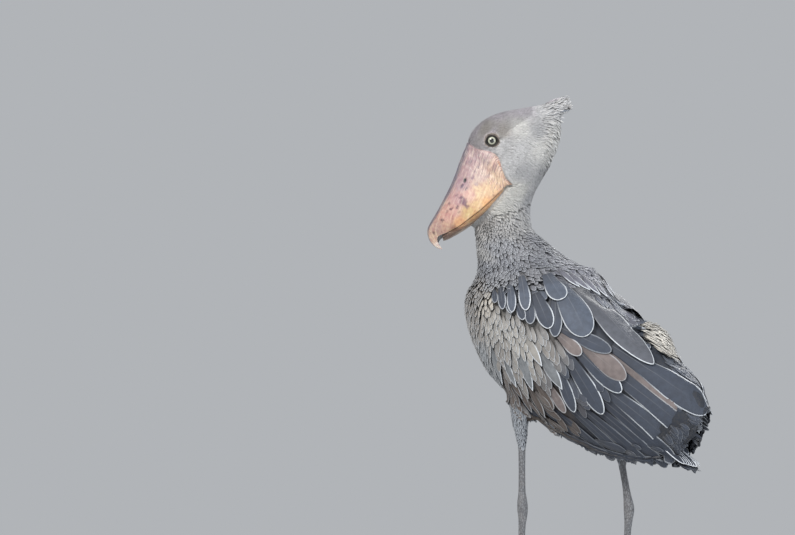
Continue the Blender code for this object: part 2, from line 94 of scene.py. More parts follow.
def linear(red, green, blue):
    """Scene-linear colour of display values from 0 to 255."""
    return tuple(((value / 255.0 + 0.055) / 1.055) ** 2.4 for value in (red, green, blue))


def unit(vectors):
    return vectors / np.maximum(np.linalg.norm(vectors, axis=-1, keepdims=True), 1e-12)


def turn_at(height):
    return HEAD_TURN * smooth_step(TURN_START_HEIGHT, TURN_END_HEIGHT, height)


def to_bird(points, turn=None):
    """(forward, side, height) of world points, in a frame that turns with the neck and head."""
    points = np.atleast_2d(points)
    turn = turn_at(points[:, 2]) if turn is None else turn
    x = points[:, 0] - CENTRING[0]
    y = points[:, 1] - CENTRING[1] + HEAD_PIVOT_FORWARD * turn / HEAD_TURN
    forward = x * np.sin(turn) - y * np.cos(turn)
    side = x * np.cos(turn) + y * np.sin(turn)
    return np.stack((forward, side, points[:, 2]), 1)


def to_world(places, turn):
    """World points of (forward, side, height) places in a frame turned by an angle."""
    places = np.atleast_2d(places)
    forward, side = places[:, 0], places[:, 1]
    x = forward * np.sin(turn) + side * np.cos(turn) + CENTRING[0]
    y = -HEAD_PIVOT_FORWARD * turn / HEAD_TURN - forward * np.cos(turn) + side * np.sin(turn) + CENTRING[1]
    return np.stack((x, y, places[:, 2]), 1)


def turned_in(vectors, turn):
    """World vectors as (forward, side, up) parts in a frame turned by an angle."""
    x, y = vectors[:, 0], vectors[:, 1]
    forward = x * np.sin(turn) - y * np.cos(turn)
    side = x * np.cos(turn) + y * np.sin(turn)
    return np.stack((forward, side, vectors[:, 2]), 1)


def turned_out(parts, turn):
    """World vectors of (forward, side, up) parts in a frame turned by an angle."""
    x = parts[:, 0] * np.sin(turn) + parts[:, 1] * np.cos(turn)
    y = -parts[:, 0] * np.cos(turn) + parts[:, 1] * np.sin(turn)
    return np.stack((x, y, parts[:, 2]), 1)


# Meshes from arrays

def mesh_arrays(mesh):
    points = np.empty(len(mesh.vertices) * 3)
    mesh.vertices.foreach_get("co", points)
    return points.reshape(-1, 3)


def face_list(mesh):
    return [tuple(polygon.vertices) for polygon in mesh.polygons]


def new_object(name, mesh):
    made = bpy.data.objects.new(name, mesh)
    bpy.context.scene.collection.objects.link(made)
    return made


def mesh_from_arrays(name, points, triangles, smooth=True):
    mesh = bpy.data.meshes.new(name)
    mesh.vertices.add(len(points))
    mesh.vertices.foreach_set("co", np.asarray(points, np.float32).ravel())
    mesh.loops.add(triangles.size)
    mesh.loops.foreach_set("vertex_index", triangles.astype(np.int32).ravel())
    mesh.polygons.add(len(triangles))
    mesh.polygons.foreach_set("loop_start", np.arange(len(triangles), dtype=np.int32) * triangles.shape[1])
    mesh.polygons.foreach_set("use_smooth", np.full(len(triangles), smooth))
    mesh.update(calc_edges=True)
    mesh.validate()
    return mesh


def set_floats(mesh, name, values):
    mesh.attributes.new(name, "FLOAT", "POINT").data.foreach_set("value", values.astype(np.float32))


def set_vectors(mesh, name, values):
    data = mesh.attributes.new(name, "FLOAT_VECTOR", "POINT").data
    data.foreach_set("vector", values.astype(np.float32).ravel())


def set_colours(mesh, name, values):
    data = mesh.attributes.new(name, "FLOAT_COLOR", "POINT").data
    data.foreach_set("color", values.astype(np.float32).ravel())


def set_uv(mesh, name, values):
    """UV map from one place for each vertex."""
    corners = np.empty(len(mesh.loops), np.int32)
    mesh.loops.foreach_get("vertex_index", corners)
    layer = mesh.uv_layers.new(name=name, do_init=False)
    layer.uv.foreach_set("vector", values[corners].astype(np.float32).ravel())


def vertex_normals(points, faces):
    across = points[faces[:, 2]] - points[faces[:, 0]]
    along = points[faces[:, 3]] - points[faces[:, 1]]
    spread = np.cross(across, along)
    total = np.zeros_like(points)
    for corner in range(faces.shape[1]):
        for axis in range(3):
            total[:, axis] += np.bincount(faces[:, corner], spread[:, axis], len(points))
    return unit(total)


def relaxed(points, edges, share, rounds):
    """Points moved towards the middle of their neighbours, by a share of the way, several times."""
    count = len(points)
    degree = np.bincount(edges.ravel(), minlength=count)[:, None]
    points = points.copy()
    for _ in range(rounds):
        total = np.empty_like(points)
        for axis in range(3):
            total[:, axis] = np.bincount(edges[:, 0], points[edges[:, 1], axis], count)
            total[:, axis] += np.bincount(edges[:, 1], points[edges[:, 0], axis], count)
        points += share[:, None] * (total / degree - points)
    return points


# The body under the feathers: all flesh as one closed surface

HULL_VOXEL = 0.0042
GAP_FILL = 0.0006
SHRINK_STEPS = 4
SMOOTH_STEPS = 12
LEAST_AGREEMENT = 0.40
FOLD_RINGS = 8
HEAD_BASE_HEIGHT = 0.70
GROWTH = {
    "head": 0.005, "neck": 0.005, "bill_lower": 0.005, "bill_upper": 0.005,
    "trunk": 0.016, "rump": 0.016, "wing_left": 0.016, "wing_right": 0.016,
}
FLESH = [name for name in sorted(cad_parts) if not name.startswith(("bill", "eye", "claw"))]
BILL = ["bill_lower", "bill_upper"]
SOLIDS = FLESH + BILL
SOFT_PARTS = ("head", "neck", "trunk", "rump", "wing_left", "wing_right", "bill_lower", "bill_upper")


COAT_DEPTH = {
    "head": 0.0022, "crest": 0.0060, "neck": 0.0048, "trunk": 0.0062, "rump": 0.0080,
    "wing_left": 0.0085, "wing_right": 0.0085, "tail": 0.0030, "thigh_left": 0.0030, "thigh_right": 0.0030,
    "bill_upper": 0.0065, "bill_lower": 0.0065,
}
THICKNESS_SHARE = 0.38
THICKNESS_LIMIT = 0.05


def flesh_mesh():
    """All flesh solids in one mesh, each grown, so that neighbours overlap and hollows close."""
    shape = bmesh.new()
    for name in SOLIDS:
        part = bmesh.new()
        part.from_mesh(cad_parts[name].data)
        bmesh.ops.remove_doubles(part, verts=part.verts, dist=1e-6)
        part.normal_update()
        growth = GROWTH.get(name, GAP_FILL)
        moves = [(vertex, vertex.normal * growth) for vertex in part.verts]
        for vertex, move in moves:
            vertex.co += move
        grown = bpy.data.meshes.new("grown_part")
        part.to_mesh(grown)
        part.free()
        shape.from_mesh(grown)
        bpy.data.meshes.remove(grown)
    mesh = bpy.data.meshes.new("flesh")
    shape.to_mesh(mesh)
    shape.free()
    return mesh


def solid_tree():
    """Search tree of all flesh and bill solids as they are in the frame."""
    points, faces = [], []
    for name in SOLIDS:
        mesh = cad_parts[name].data
        faces += [tuple(len(points) + corner for corner in polygon.vertices) for polygon in mesh.polygons]
        points += mesh_arrays(mesh).tolist()
    return BVHTree.FromPolygons(points, faces)


def sampled_labels(points):
    """Index in SOLIDS of the solid nearest to each point."""
    samples, labels = [], []
    for label, name in enumerate(SOLIDS):
        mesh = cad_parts[name].data
        mesh.calc_loop_triangles()
        corners = np.array([tri.vertices for tri in mesh.loop_triangles])
        place = mesh_arrays(mesh)[corners]
        area = 0.5 * np.linalg.norm(np.cross(place[:, 1] - place[:, 0], place[:, 2] - place[:, 0]), axis=1)
        count = max(60, int(area.sum() / 30e-6))
        pick = rng.choice(len(area), count, p=area / area.sum())
        a, b = rng.random((2, count, 1))
        flip = (a + b) > 1.0
        a, b = np.where(flip, 1.0 - a, a), np.where(flip, 1.0 - b, b)
        base = place[pick, 0]
        samples.append(base + a * (place[pick, 1] - base) + b * (place[pick, 2] - base))
        labels += [label] * count
    samples = np.concatenate(samples)
    tree = KDTree(len(samples))
    for index, sample in enumerate(samples):
        tree.insert(sample, index)
    tree.balance()
    return np.array([labels[tree.find(point)[1]] for point in points])


def largest_shell(points, faces, edges):
    """The same mesh with only its largest connected part."""
    root = np.arange(len(points))
    while True:
        low = np.minimum(root[edges[:, 0]], root[edges[:, 1]])
        before = root.copy()
        np.minimum.at(root, edges[:, 0], low)
        np.minimum.at(root, edges[:, 1], low)
        root = root[root]
        if (root == before).all():
            break
    keep = root == np.bincount(root).argmax()
    index = np.cumsum(keep) - 1
    return points[keep], index[faces[keep[faces[:, 0]]]], index[edges[keep[edges[:, 0]]]]


class Hull:
    """Smoothed outer surface of the flesh: points, quads, normals, part labels and a search tree."""

    def __init__(self):
        flesh = new_object("flesh", flesh_mesh())
        modifier = flesh.modifiers.new("voxels", "REMESH")
        modifier.mode = "VOXEL"
        modifier.voxel_size = HULL_VOXEL
        evaluated = flesh.evaluated_get(bpy.context.evaluated_depsgraph_get())
        mesh = bpy.data.meshes.new_from_object(evaluated)
        bpy.data.objects.remove(flesh)
        faces = np.array([tuple(polygon.vertices) for polygon in mesh.polygons])
        edges = np.empty(len(mesh.edges) * 2, np.int32)
        mesh.edges.foreach_get("vertices", edges)
        points, faces, edges = largest_shell(mesh_arrays(mesh), faces, edges.reshape(-1, 2))
        bpy.data.meshes.remove(mesh)
        self.faces = faces
        self.edges = edges
        self.label = sampled_labels(points)
        soft = np.isin(self.label, [SOLIDS.index(name) for name in SOFT_PARTS]).astype(float)
        points = relaxed(points, edges, 0.25 + 0.25 * soft, 3)
        growth = np.array([GROWTH.get(name, GAP_FILL) for name in SOLIDS])[self.label]
        blend = relaxed(np.stack((soft, growth, growth), 1), edges, np.full(len(points), 0.5), 6)
        grown, first = points, vertex_normals(points, faces)
        for _ in range(SHRINK_STEPS):
            points = points - blend[:, 1:2] / SHRINK_STEPS * vertex_normals(points, faces)
            points = relaxed(points, edges, 0.5 * blend[:, 0], 2)
        points = relaxed(points, edges, 0.10 + 0.40 * blend[:, 0], SMOOTH_STEPS)
        turned = (vertex_normals(points, faces) * first).sum(1) < LEAST_AGREEMENT
        turned = np.repeat(turned[:, None].astype(float), 3, 1)
        folded = relaxed(turned, edges, np.full(len(points), 0.5), FOLD_RINGS)
        folded = smooth_step(0.002, 0.06, folded[:, :1]) * (grown[:, 2:3] < HEAD_BASE_HEIGHT)
        solids = solid_tree()
        for index in np.flatnonzero(folded[:, 0] > 0.0):
            near = np.array(solids.find_nearest(Vector(grown[index]))[0])
            points[index] += folded[index] * (near - points[index])
        points = relaxed(points, edges, 0.45 * folded[:, 0], 2)
        self.points = points
        self.folded = folded[:, 0]
        self.normals = unit(vertex_normals(points, self.faces) * (1.0 - folded) + first * folded)
        self.face_normals = unit(self.normals[self.faces].mean(1))
        self.tree = BVHTree.FromPolygons(points.tolist(), self.faces.tolist())
        self.thickness = self.measured_thickness()
        depth = np.array([COAT_DEPTH.get(name, 0.0003) for name in SOLIDS])[self.label]
        depth = np.minimum(depth, THICKNESS_SHARE * self.thickness)
        self.depth = relaxed(np.repeat(depth[:, None], 3, 1), edges, np.full(len(points), 0.5), 5)[:, 0]
        self.face_depth = self.depth[faces].mean(1)

    def measured_thickness(self):
        """How far it is through the body from each point of the legs, tail and wings, up to a limit."""
        thickness = np.full(len(self.points), THICKNESS_LIMIT)
        for index in np.flatnonzero(self.points[:, 2] < 0.62):
            start = Vector(self.points[index] - 0.0008 * self.normals[index])
            _, _, _, run = self.tree.ray_cast(start, Vector(-self.normals[index]), THICKNESS_LIMIT)
            if run is not None:
                thickness[index] = run
        return thickness

    def is_part(self, *names):
        return np.isin(self.label, [SOLIDS.index(name) for name in names])

    def seen(self, column, row):
        """Place and normal on the hull that the photograph shows at a pixel."""
        across = (column - ORIGIN_COLUMN) * METRES_PER_PIXEL
        height = (FLOOR_ROW - row) * METRES_PER_PIXEL
        start = np.array((0.0, CENTRING[1], height)) + across * VIEW_RIGHT + VIEW_BACK
        place, normal, face, _ = self.tree.ray_cast(Vector(start), Vector(-VIEW_BACK))
        if place is None:
            place, normal, face, _ = self.tree.find_nearest(Vector(start - VIEW_BACK * 0.95))
        return np.array(place), self.face_normals[face]

    def hit(self, column, row):
        """Whether the photograph shows the hull at a pixel."""
        across = (column - ORIGIN_COLUMN) * METRES_PER_PIXEL
        height = (FLOOR_ROW - row) * METRES_PER_PIXEL
        start = np.array((0.0, CENTRING[1], height)) + across * VIEW_RIGHT + VIEW_BACK
        return self.tree.ray_cast(Vector(start), Vector(-VIEW_BACK))[0] is not None


hull = Hull()


# Plumage tones, as linear colours of display values

TINTS = {
    "crown": linear(196, 190, 198),
    "lore": linear(178, 172, 166),
    "cheek": linear(204, 204, 205),
    "cheek_pale": linear(216, 215, 212),
    "cheek_dark": linear(176, 176, 178),
    "throat": linear(204, 203, 198),
    "neck_pale": linear(164, 163, 162),
    "neck": linear(126, 127, 133),
    "neck_dark": linear(104, 106, 115),
    "mantle": linear(112, 113, 124),
    "buff": linear(186, 180, 170),
    "breast_mix": linear(140, 134, 128),
    "breast_pale": linear(162, 159, 154),
    "breast": linear(136, 132, 128),
    "breast_slate": linear(124, 128, 132),
    "slate": linear(84, 92, 106),
    "slate_dark": linear(62, 69, 82),
    "night": linear(46, 53, 66),
    "brown": linear(122, 112, 110),
    # umber: the lower breast and underside, browner than the breast above and darkened as painted shade
    # under the wing and body
    "umber": linear(84, 74, 68),
    "down_white": linear(236, 232, 224),
    "thigh": linear(122, 128, 136),
    "leg": linear(118, 120, 124),
}

# Zones that the photograph shows: pixel, way the feathers point in the picture,
# length and width in millimetres, tone, strength of the pale rim
SEEN_ZONES = [
    ((474, 130), (0.8, -0.9), 6, 2.6, "crown", 0.1),
    ((480, 122), (1.0, -0.6), 6, 2.6, "crown", 0.1),
    ((497, 114), (1.0, -0.3), 7, 2.8, "crown", 0.1),
    ((520, 110), (1.0, -0.2), 8, 3.0, "crown", 0.1),
    ((543, 107), (1.0, -0.3), 10, 3.2, "cheek", 0.1),
    ((485, 130), (1.0, -0.5), 5, 2.4, "lore", 0.1),
    ((500, 133), (1.0, -0.4), 6, 2.6, "lore", 0.1),
    ((504, 143), (1.0, 0.3), 6, 2.6, "cheek", 0.1),
    ((518, 128), (1.0, -0.2), 7, 3.0, "cheek_pale", 0.1),
    ((536, 128), (1.0, 0.1), 9, 3.4, "cheek_dark", 0.1),
    ((520, 148), (1.0, 0.5), 8, 3.2, "cheek", 0.1),
    ((538, 150), (1.0, 0.6), 9, 3.4, "cheek_pale", 0.1),
    ((552, 135), (0.8, 0.7), 12, 3.4, "cheek_pale", 0.1),
    ((550, 152), (0.5, 1.0), 13, 3.6, "cheek_pale", 0.1),
    ((541, 175), (0.4, 1.0), 13, 3.8, "cheek_dark", 0.1),
    ((520, 170), (0.9, 0.6), 9, 3.4, "cheek_dark", 0.1),
    ((508, 165), (1.0, 0.4), 6, 2.8, "cheek", 0.1),
    ((516, 190), (0.9, 0.5), 8, 3.2, "throat", 0.1),
    ((498, 208), (0.8, 0.4), 8, 3.2, "throat", 0.1),
    ((528, 198), (0.6, 0.8), 12, 3.8, "cheek_dark", 0.1),
    ((486, 222), (0.5, 0.6), 8, 3.2, "neck_pale", 0.12),
    ((482, 232), (0.1, 1.0), 12, 5.0, "neck_pale", 0.19),
    ((500, 224), (0.3, 1.0), 13, 5.5, "neck_pale", 0.19),
    ((520, 222), (0.5, 1.0), 13, 5.5, "neck_pale", 0.25),
    ((480, 248), (0.2, 1.0), 14, 6.0, "neck_pale", 0.31),
    ((495, 245), (0.4, 1.0), 16, 7.0, "neck", 0.56),
    ((512, 245), (0.5, 1.0), 17, 7.5, "neck", 0.56),
    ((535, 238), (0.9, 0.8), 16, 7.0, "neck_dark", 0.31),
    ((486, 265), (0.4, 1.0), 18, 8.0, "neck_dark", 0.62),
    ((510, 262), (0.5, 1.0), 19, 8.5, "neck_dark", 0.62),
    ((540, 262), (1.0, 0.6), 21, 9.0, "neck_dark", 0.50),
    ((570, 268), (1.0, 0.5), 26, 10, "mantle", 0.50),
    ((495, 276), (0.5, 1.0), 20, 9.0, "neck", 0.62),
    ((530, 274), (0.8, 0.7), 22, 10, "neck", 0.43),
    ((565, 278), (1.0, 0.5), 30, 12, "mantle", 0.56),
    ((592, 286), (1.0, 0.8), 38, 14, "mantle", 0.62),
    ((612, 296), (1.0, 1.0), 44, 18, "slate", 0.9),
    ((473, 290), (-0.1, 1.0), 20, 9.0, "breast_mix", 0.56),
    ((486, 299), (0.1, 1.0), 22, 10, "buff", 0.3),
    ((468, 305), (0.0, 1.0), 24, 10, "breast_mix", 0.56),
    ((475, 322), (0.2, 1.0), 28, 11, "breast_mix", 0.56),
    ((490, 322), (0.2, 1.0), 30, 11, "breast_pale", 0.50),
    ((508, 325), (0.3, 1.0), 30, 12, "breast_pale", 0.50),
    ((478, 342), (0.2, 1.0), 38, 12, "breast_slate", 0.56),
    ((498, 345), (0.25, 1.0), 42, 13, "breast", 0.62),
    ((520, 342), (0.35, 1.0), 42, 14, "breast_pale", 0.62),
    ((540, 350), (0.4, 1.0), 42, 15, "breast", 0.56),
    ((488, 368), (0.3, 1.0), 48, 14, "breast_slate", 0.56),
    ((512, 370), (0.3, 1.0), 50, 15, "breast", 0.62),
    ((498, 388), (0.5, 1.0), 46, 15, "umber", 0.4),
    ((520, 402), (0.8, 1.0), 50, 16, "umber", 0.4),
    ((505, 292), (0.3, 1.0), 24, 14, "slate", 0.4),
    ((525, 300), (0.4, 1.0), 28, 15, "slate", 0.4),
    ((545, 292), (0.5, 1.0), 32, 17, "slate", 0.4),
    ((575, 315), (0.6, 1.0), 48, 24, "slate_dark", 0.15),
    ((612, 318), (0.9, 1.0), 48, 20, "slate", 0.8),
    ((630, 335), (0.9, 1.0), 52, 22, "slate", 0.8),
    ((555, 365), (0.6, 1.0), 50, 20, "slate_dark", 0.12),
    ((590, 385), (0.8, 1.0), 60, 24, "slate_dark", 0.12),
    ((640, 380), (1.0, 0.8), 70, 26, "slate_dark", 0.12),
    ((690, 400), (1.0, 0.8), 60, 26, "slate_dark", 0.12),
    ((550, 405), (1.0, 0.9), 50, 18, "umber", 0.2),
    ((590, 430), (1.0, 0.6), 80, 22, "night", 0.1),
    ((640, 445), (1.0, 0.45), 90, 24, "night", 0.1),
    ((680, 440), (1.0, 0.8), 50, 20, "night", 0.1),
]

# Zones the photograph doesn't show: (forward, side, height), way the feathers point,
# length and width in millimetres, tone, strength of the pale rim
HIDDEN_ZONES = [
    ((0.22, 0.00, 0.72), (0.1, 0.0, -1.0), 20, 9.0, "neck", 0.56),
    ((0.25, 0.00, 0.66), (0.0, 0.0, -1.0), 26, 11, "breast_mix", 0.56),
    ((0.25, 0.05, 0.60), (-0.2, 0.0, -1.0), 34, 12, "breast_mix", 0.56),
    ((0.24, 0.00, 0.56), (-0.3, 0.0, -1.0), 38, 13, "breast", 0.56),
    ((0.20, 0.00, 0.49), (-0.5, 0.0, -1.0), 40, 14, "breast", 0.43),
    ((0.13, 0.04, 0.44), (-0.8, 0.0, -0.6), 36, 14, "umber", 0.4),
    ((0.06, 0.00, 0.41), (-1.0, 0.0, -0.3), 34, 14, "umber", 0.3),
    ((-0.04, 0.00, 0.38), (-1.0, 0.0, -0.2), 34, 14, "umber", 0.3),
    ((-0.13, 0.00, 0.38), (-1.0, 0.0, -0.2), 36, 14, "cheek_dark", 0.3),
    ((-0.03, 0.00, 0.71), (-1.0, 0.0, -0.5), 28, 12, "mantle", 0.56),
    ((-0.08, 0.03, 0.65), (-0.8, 0.0, -0.8), 40, 17, "mantle", 0.56),
    ((-0.13, 0.00, 0.59), (-0.8, 0.0, -0.9), 46, 20, "slate", 0.6),
    ((-0.17, 0.00, 0.55), (-0.7, 0.0, -0.8), 46, 20, "slate", 0.6),
    ((0.00, 0.00, 1.067), (-1.0, 0.0, 0.1), 8, 3.0, "crown", 0.1),
    ((-0.09, 0.00, 1.00), (-0.3, 0.0, -1.0), 12, 3.4, "cheek_pale", 0.1),
    ((-0.05, 0.00, 0.90), (0.1, 0.0, -1.0), 13, 3.8, "cheek_dark", 0.1),
    ((0.07, 0.00, 0.84), (-0.6, 0.0, -0.8), 8, 3.2, "throat", 0.1),
]


def display_flow(normal, right, down):
    """Unit tangent on a surface whose image points right and down by these amounts."""
    picture = right * VIEW_RIGHT - down * UP
    facing = float(np.dot(VIEW_BACK, normal))
    facing = math.copysign(max(abs(facing), 0.25), facing)
    along = picture - VIEW_BACK * (np.dot(picture, normal) / facing)
    return unit(along)


class Zones:
    """Lie, size and tone of the feathers anywhere on the hull, blended between the zones."""

    def __init__(self):
        places, flows, sizes, tints = [], [], [], []
        for (column, row), (right, down), length, width, tint, rim in SEEN_ZONES:
            place, normal = hull.seen(column, row)
            turn = turn_at(place[2:3])
            parts = turned_in(display_flow(normal, right, down)[None], turn)[0]
            here = to_bird(place)[0]
            if here[1] < 0.0:
                here[1], parts[1] = -here[1], -parts[1]
            places.append(here)
            flows.append(parts)
            sizes.append((length * MM, width * MM, rim))
            tints.append(TINTS[tint])
        for place, flow, length, width, tint, rim in HIDDEN_ZONES:
            places.append(np.array(place))
            flows.append(unit(np.array(flow)))
            sizes.append((length * MM, width * MM, rim))
            tints.append(TINTS[tint])
        self.places = np.array(places)
        self.flows = np.array(flows)
        self.sizes = np.array(sizes)
        self.tints = np.array(tints)

    def at(self, points, normals):
        """World flow, (length, width, rim) and tone at points of the hull."""
        turn = turn_at(points[:, 2])
        here = to_bird(points, turn)
        sign = np.where(here[:, 1] < 0.0, -1.0, 1.0)
        here[:, 1] *= sign
        gap = ((here[:, None, :] - self.places[None, :, :]) ** 2).sum(2)
        weight = 1.0 / (gap + 0.006 ** 2) ** 2
        weight /= weight.sum(1, keepdims=True)
        parts = weight @ self.flows
        parts[:, 1] *= sign
        flow = turned_out(parts, turn)
        flow -= normals * (flow * normals).sum(1, keepdims=True)
        return unit(flow), weight @ self.sizes, weight @ self.tints


zones = Zones()


# Vanes: thin closed feathers laid along the hull in great numbers

class Style:
    """Shape of one sort of feather."""

    def __init__(
        self, rows, columns, widest, root, point, camber, lift, ragged, hug, sheet=0.0, drape=False,
    ):
        self.rows = rows            # steps along the vane
        self.columns = columns      # steps across it
        self.widest = widest        # share of the length where it is widest
        self.root = root            # width left at the root
        self.point = point          # 0.5 is a round tip, 1 and more a pointed one
        self.camber = camber        # rise of the middle over the edges, as a share of the width
        self.lift = lift            # heights over the hull at the root and at the tip, in metres
        self.ragged = ragged        # how uneven the outline is
        self.hug = hug              # steps along the hull that the vane follows
        self.sheet = sheet          # thickness of a wide vane with its own underside, or 0
        self.drape = drape          # whether its whole breadth follows the hull


def vane_outline(style, share):
    """Half width of the vane at shares of its length, as a share of its greatest half width."""
    rise = smooth_step(-0.15, style.widest, share)
    opening = style.root + (1.0 - style.root) * rise
    beyond = np.clip((share - style.widest) / (1.0 - style.widest), 0.0, 1.0)
    closing = np.clip(1.0 - beyond ** 2.0, 0.0, 1.0) ** style.point
    return opening * closing


MOST_TURN = 0.62


def paths_on_hull(roots, headings, lengths, steps):
    """Points and normals of paths from the roots along the hull, but not round its sharp edges."""
    count = len(roots)
    points = np.empty((count, steps + 1, 3))
    normals = np.empty((count, steps + 1, 3))
    find = hull.tree.find_nearest
    face_normals = hull.face_normals
    for index in range(count):
        here = Vector(roots[index])
        heading = Vector(headings[index])
        step = lengths[index] / steps
        first = None
        for stage in range(steps + 1):
            near, normal, face, _ = find(here)
            normal = Vector(face_normals[face])
            if first is None:
                first = normal
            if first.dot(normal) < MOST_TURN:
                points[index, stage] = here
                normals[index, stage] = normals[index, stage - 1]
                here = here + heading * step
                continue
            points[index, stage] = near
            normals[index, stage] = normal
            heading -= normal * heading.dot(normal)
            heading.normalize()
            here = near + heading * step
    return points, normals


def depth_along(points):
    """Depth of the skin under each point of paths."""
    flat = points.reshape(-1, 3)
    found = [hull.tree.find_nearest(Vector(point))[2] for point in flat]
    return hull.face_depth[np.array(found)].reshape(points.shape[:2] + (1,))


def along_paths(values, shares):
    """Values of each path read at shares of its length."""
    steps = values.shape[1] - 1
    place = np.clip(shares * steps, 0.0, steps)
    index = np.minimum(place.astype(int), steps - 1)
    part = (place - index)[None, :, None]
    return values[:, index] * (1.0 - part) + values[:, index + 1] * part


DRAPE_LIMIT = 0.72


def draped(flat, lifting):
    """Points of wide vanes brought down onto the hull, except beyond its edges."""
    shape = flat.shape
    points, ups = flat.reshape(-1, 3).copy(), lifting.reshape(-1, 3).copy()
    for index in range(len(points)):
        near, _, face, _ = hull.tree.find_nearest(Vector(points[index]))
        normal = hull.face_normals[face]
        if np.dot(ups[index], normal) > DRAPE_LIMIT:
            points[index] = near
            ups[index] = normal
    return points.reshape(shape), ups.reshape(shape)


FEATHER_PATCH = 0.003


class Coat:
    """Collects vanes, then makes pieces of them."""

    def __init__(self, name, slot):
        self.name = name
        self.slot = slot
        self.batches = []

    def lay(
        self, style, path, normal, lengths, widths, tints, rims,
        raise_by=0.0, bend=None, patch=FEATHER_PATCH, stack=0.0,
    ):
        """Vanes along paths on the hull, each with its length, width, tone, rim and extra height."""
        count = len(path)
        if not count:
            return
        rows, columns = style.rows, style.columns
        share = 1.0 - (1.0 - np.linspace(0.0, 1.0, rows + 1)) ** 1.35
        across = np.linspace(-1.0, 1.0, columns + 1)
        roots = path[:, 0]
        centre = along_paths(path, share)
        up = unit(along_paths(normal, share))
        run = unit(np.gradient(centre, axis=1))
        aside = unit(np.cross(run, up))
        up = unit(np.cross(aside, run))
        half = 0.5 * widths[:, None] * vane_outline(style, share)[None, :]
        uneven = 1.0 - style.ragged * rng.random((count, rows + 1, 2)) ** 2
        uneven[:, 0] = 1.0
        side = np.where(across < 0.0, 0, 1)
        frayed = 1.0 + (uneven[:, :, side] - 1.0) * np.abs(across)
        offset = half[:, :, None] * across[None, None, :] * frayed
        bend = rng.normal(0.0, 0.05, count) if bend is None else bend
        bend = bend[:, None] * lengths[:, None] * share[None, :] ** 2
        height = style.lift[0] + (style.lift[1] - style.lift[0]) * share[None, :] ** 0.8
        loose = rng.normal(0.0, 0.1, count)[:, None] * 0.004 * share ** 2
        height = height + np.reshape(raise_by, (-1, 1)) + loose
        skin_level = -0.85 * along_paths(depth_along(path), share)[..., 0]
        height = np.maximum(height, 0.0002 + np.reshape(stack, (-1, 1)) + skin_level)
        rise = style.camber * half[:, :, None] * (1.0 - across[None, None, :] ** 2)
        level = height[:, :, None] + rise
        flat = centre[:, :, None] + aside[:, :, None] * (offset + bend[:, :, None])[..., None]
        lifting = np.broadcast_to(up[:, :, None], flat.shape)
        if style.drape:
            flat, lifting = draped(flat, lifting)
        under = flat + lifting * (level - np.maximum(style.sheet, 0.35 * rise))[..., None]
        top = flat + lifting * level[..., None]
        to_tip = (lengths[:, None] * (1.0 - share))[:, :, None]
        rim_gap = np.minimum(half[:, :, None] * (1.0 - np.abs(across)), to_tip)
        shaft_gap = half[:, :, None] * np.abs(across)
        barb = (lengths[:, None] * share)[:, :, None] - 1.3 * shaft_gap
        uv = np.stack((
            np.broadcast_to(0.5 * across * patch, (rows + 1, columns + 1)),
            np.broadcast_to((share[:, None] - 0.5) * patch, (rows + 1, columns + 1)),
        ), -1)
        self.batches.append({
            "style": style, "top": top, "under": under, "roots": roots, "uv": uv,
            "vane": np.stack((rim_gap, shaft_gap, barb), -1) * 1000.0,
            "along": np.broadcast_to(share[:, None], (rows + 1, columns + 1)),
            "tints": tints, "rims": rims,
        })

    def make(self, material, unwrap):
        """Pieces under the triangle limit, split by feather."""
        made = []
        for number, group in enumerate(self.split()):
            name = self.name if number == 0 else "%s_%d" % (self.name, number + 1)
            made.append(self.piece(name, group, material, unwrap))
        for piece in made:
            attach(piece, "root")
        return made

    def split(self, limit=190000):
        groups, total = [[]], 0
        for batch in self.batches:
            each = len(grid_triangles(batch["style"]))
            start, count = 0, len(batch["top"])
            while start < count:
                room = (limit - total) // each
                if room <= 0:
                    groups.append([])
                    total = 0
                    continue
                take = min(room, count - start)
                groups[-1].append((batch, slice(start, start + take)))
                total += take * each
                start += take
        return groups

    def piece(self, name, group, material, unwrap):
        points, triangles, vanes, along, tints, uvs = [], [], [], [], [], []
        base = 0
        for batch, part in group:
            style = batch["style"]
            pattern = grid_triangles(style)
            top, under = batch["top"][part], batch["under"][part]
            count = len(top)
            each = 2 * (style.rows + 1) * (style.columns + 1)
            both = np.concatenate((top.reshape(count, -1, 3), under.reshape(count, -1, 3)), 1)
            points.append(both.reshape(-1, 3))
            first = base + each * np.arange(count)
            triangles.append((pattern[None] + first[:, None, None]).reshape(-1, 3))
            base += each * count
            grid = batch["vane"][part].reshape(count, -1, 3)
            vanes.append(np.concatenate((grid, grid), 1).reshape(-1, 3))
            step = np.tile(batch["along"].ravel(), 2)
            along.append(np.tile(step, count))
            tone = np.concatenate((batch["tints"][part], batch["rims"][part, None]), 1)
            tints.append(np.repeat(tone, each, 0))
            patch = np.tile(batch["uv"].reshape(-1, 2), (2, 1))
            uvs.append((unwrap(batch["roots"][part])[:, None] + patch[None]).reshape(-1, 2))
        points = np.concatenate(points)
        triangles = np.concatenate(triangles)
        used = np.unique(triangles)
        index = np.zeros(len(points), int)
        index[used] = np.arange(len(used))
        mesh = mesh_from_arrays(name, points[used], index[triangles])
        set_vectors(mesh, "vane", np.concatenate(vanes)[used])
        set_floats(mesh, "along", np.concatenate(along)[used])
        set_colours(mesh, "tint", np.concatenate(tints)[used])
        set_uv(mesh, "OFBake", np.concatenate(uvs)[used])
        mesh.materials.append(material)
        return new_object(name, mesh)


